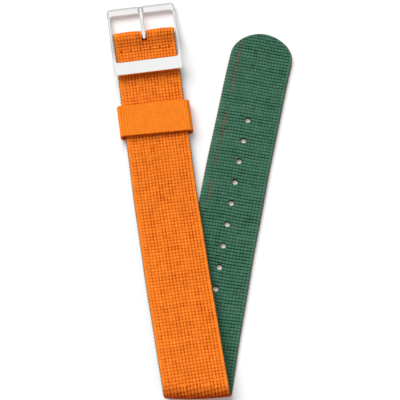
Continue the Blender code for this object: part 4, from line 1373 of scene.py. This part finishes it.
# Steel and thread finishes
steelFinish = {
    "polished": {"colour": (0.91, 0.905, 0.90, 1), "roughness": (0.08, 0.15),
                 "grain": (0.06, 1.0, 1.0), "bump": 0.15},
    "turned": {"colour": (0.60, 0.60, 0.61, 1), "roughness": (0.24, 0.36),
               "grain": (1.0, 0.02, 0.02), "bump": 0.5},
    "wearScale": 260.0,
    "wearShade": (0.3, 0.7, 0.96, 1.0),
    "ringScale": 6000.0,
    "ringShare": 0.5,
    "marks": (0.5, 1.0),
    "grainDepth": 0.000002,
}

threadFinish = {
    "crest": (1.0, 0.32, 0.030, 1),
    "valley": (0.98, 0.21, 0.010, 1),
    "fibre": 9000.0,
    "lit": (0.3, 0.6),
    "bump": 0.4,
    "bumpDepth": 0.000025,
    "roughness": 0.55,
    "specular": 0.3,
}


def steelMaterial(name, finish):
    material, tree, shader = newMaterial(name)
    turn = addNode(tree, "ShaderNodeMapping")
    turn.inputs["Rotation"].default_value = (0, 0, -headTurn)
    feed(tree, turn.inputs["Vector"], addNode(tree, "ShaderNodeTexCoord").outputs["Object"])
    place = turn.outputs["Vector"]
    wear = noise(tree, place, steelFinish["wearScale"], 4.0)
    grain = noise(tree, place, steelFinish["ringScale"], 2.0, stretch=finish["grain"])
    shade = remap(tree, wear, *steelFinish["wearShade"])
    feed(tree, shader.inputs["Base Color"], mixColours(tree, 1.0, finish["colour"], shade, "MULTIPLY"))
    marks = maths(tree, "ADD", wear, maths(tree, "MULTIPLY", grain, steelFinish["ringShare"]))
    feed(tree, shader.inputs["Roughness"], remap(tree, marks, *steelFinish["marks"], *finish["roughness"]))
    addBump(tree, shader, grain, finish["bump"], steelFinish["grainDepth"])
    shader.inputs["Metallic"].default_value = 1.0
    return material


def threadMaterial(name, finish):
    material, tree, shader = newMaterial(name)
    place = addNode(tree, "ShaderNodeTexCoord").outputs["Object"]
    fibre = noise(tree, place, finish["fibre"], 3.0)
    lit = remap(tree, fibre, *finish["lit"])
    feed(tree, shader.inputs["Base Color"], mixColours(tree, lit, finish["valley"], finish["crest"]))
    addBump(tree, shader, fibre, finish["bump"], finish["bumpDepth"])
    shader.inputs["Roughness"].default_value = finish["roughness"]
    shader.inputs["Specular IOR Level"].default_value = finish["specular"]
    return material


polishedSteel = steelMaterial("polishedSteel", steelFinish["polished"])
barSteel = steelMaterial("barSteel", steelFinish["turned"])
orangeThread = threadMaterial("orangeThread", threadFinish)
addBuckle(polishedSteel)
addTang(polishedSteel)
addSeam(orangeThread)
addKeeperSeam(orangeThread)
for nodeName in ("spring_bar_tube", "spring_bar_tip_left", "spring_bar_tip_right", "spring_bar_spring"):
    for materialSlot in frame["nodes"][nodeName].material_slots:
        materialSlot.material = barSteel
print("spring bar finished")
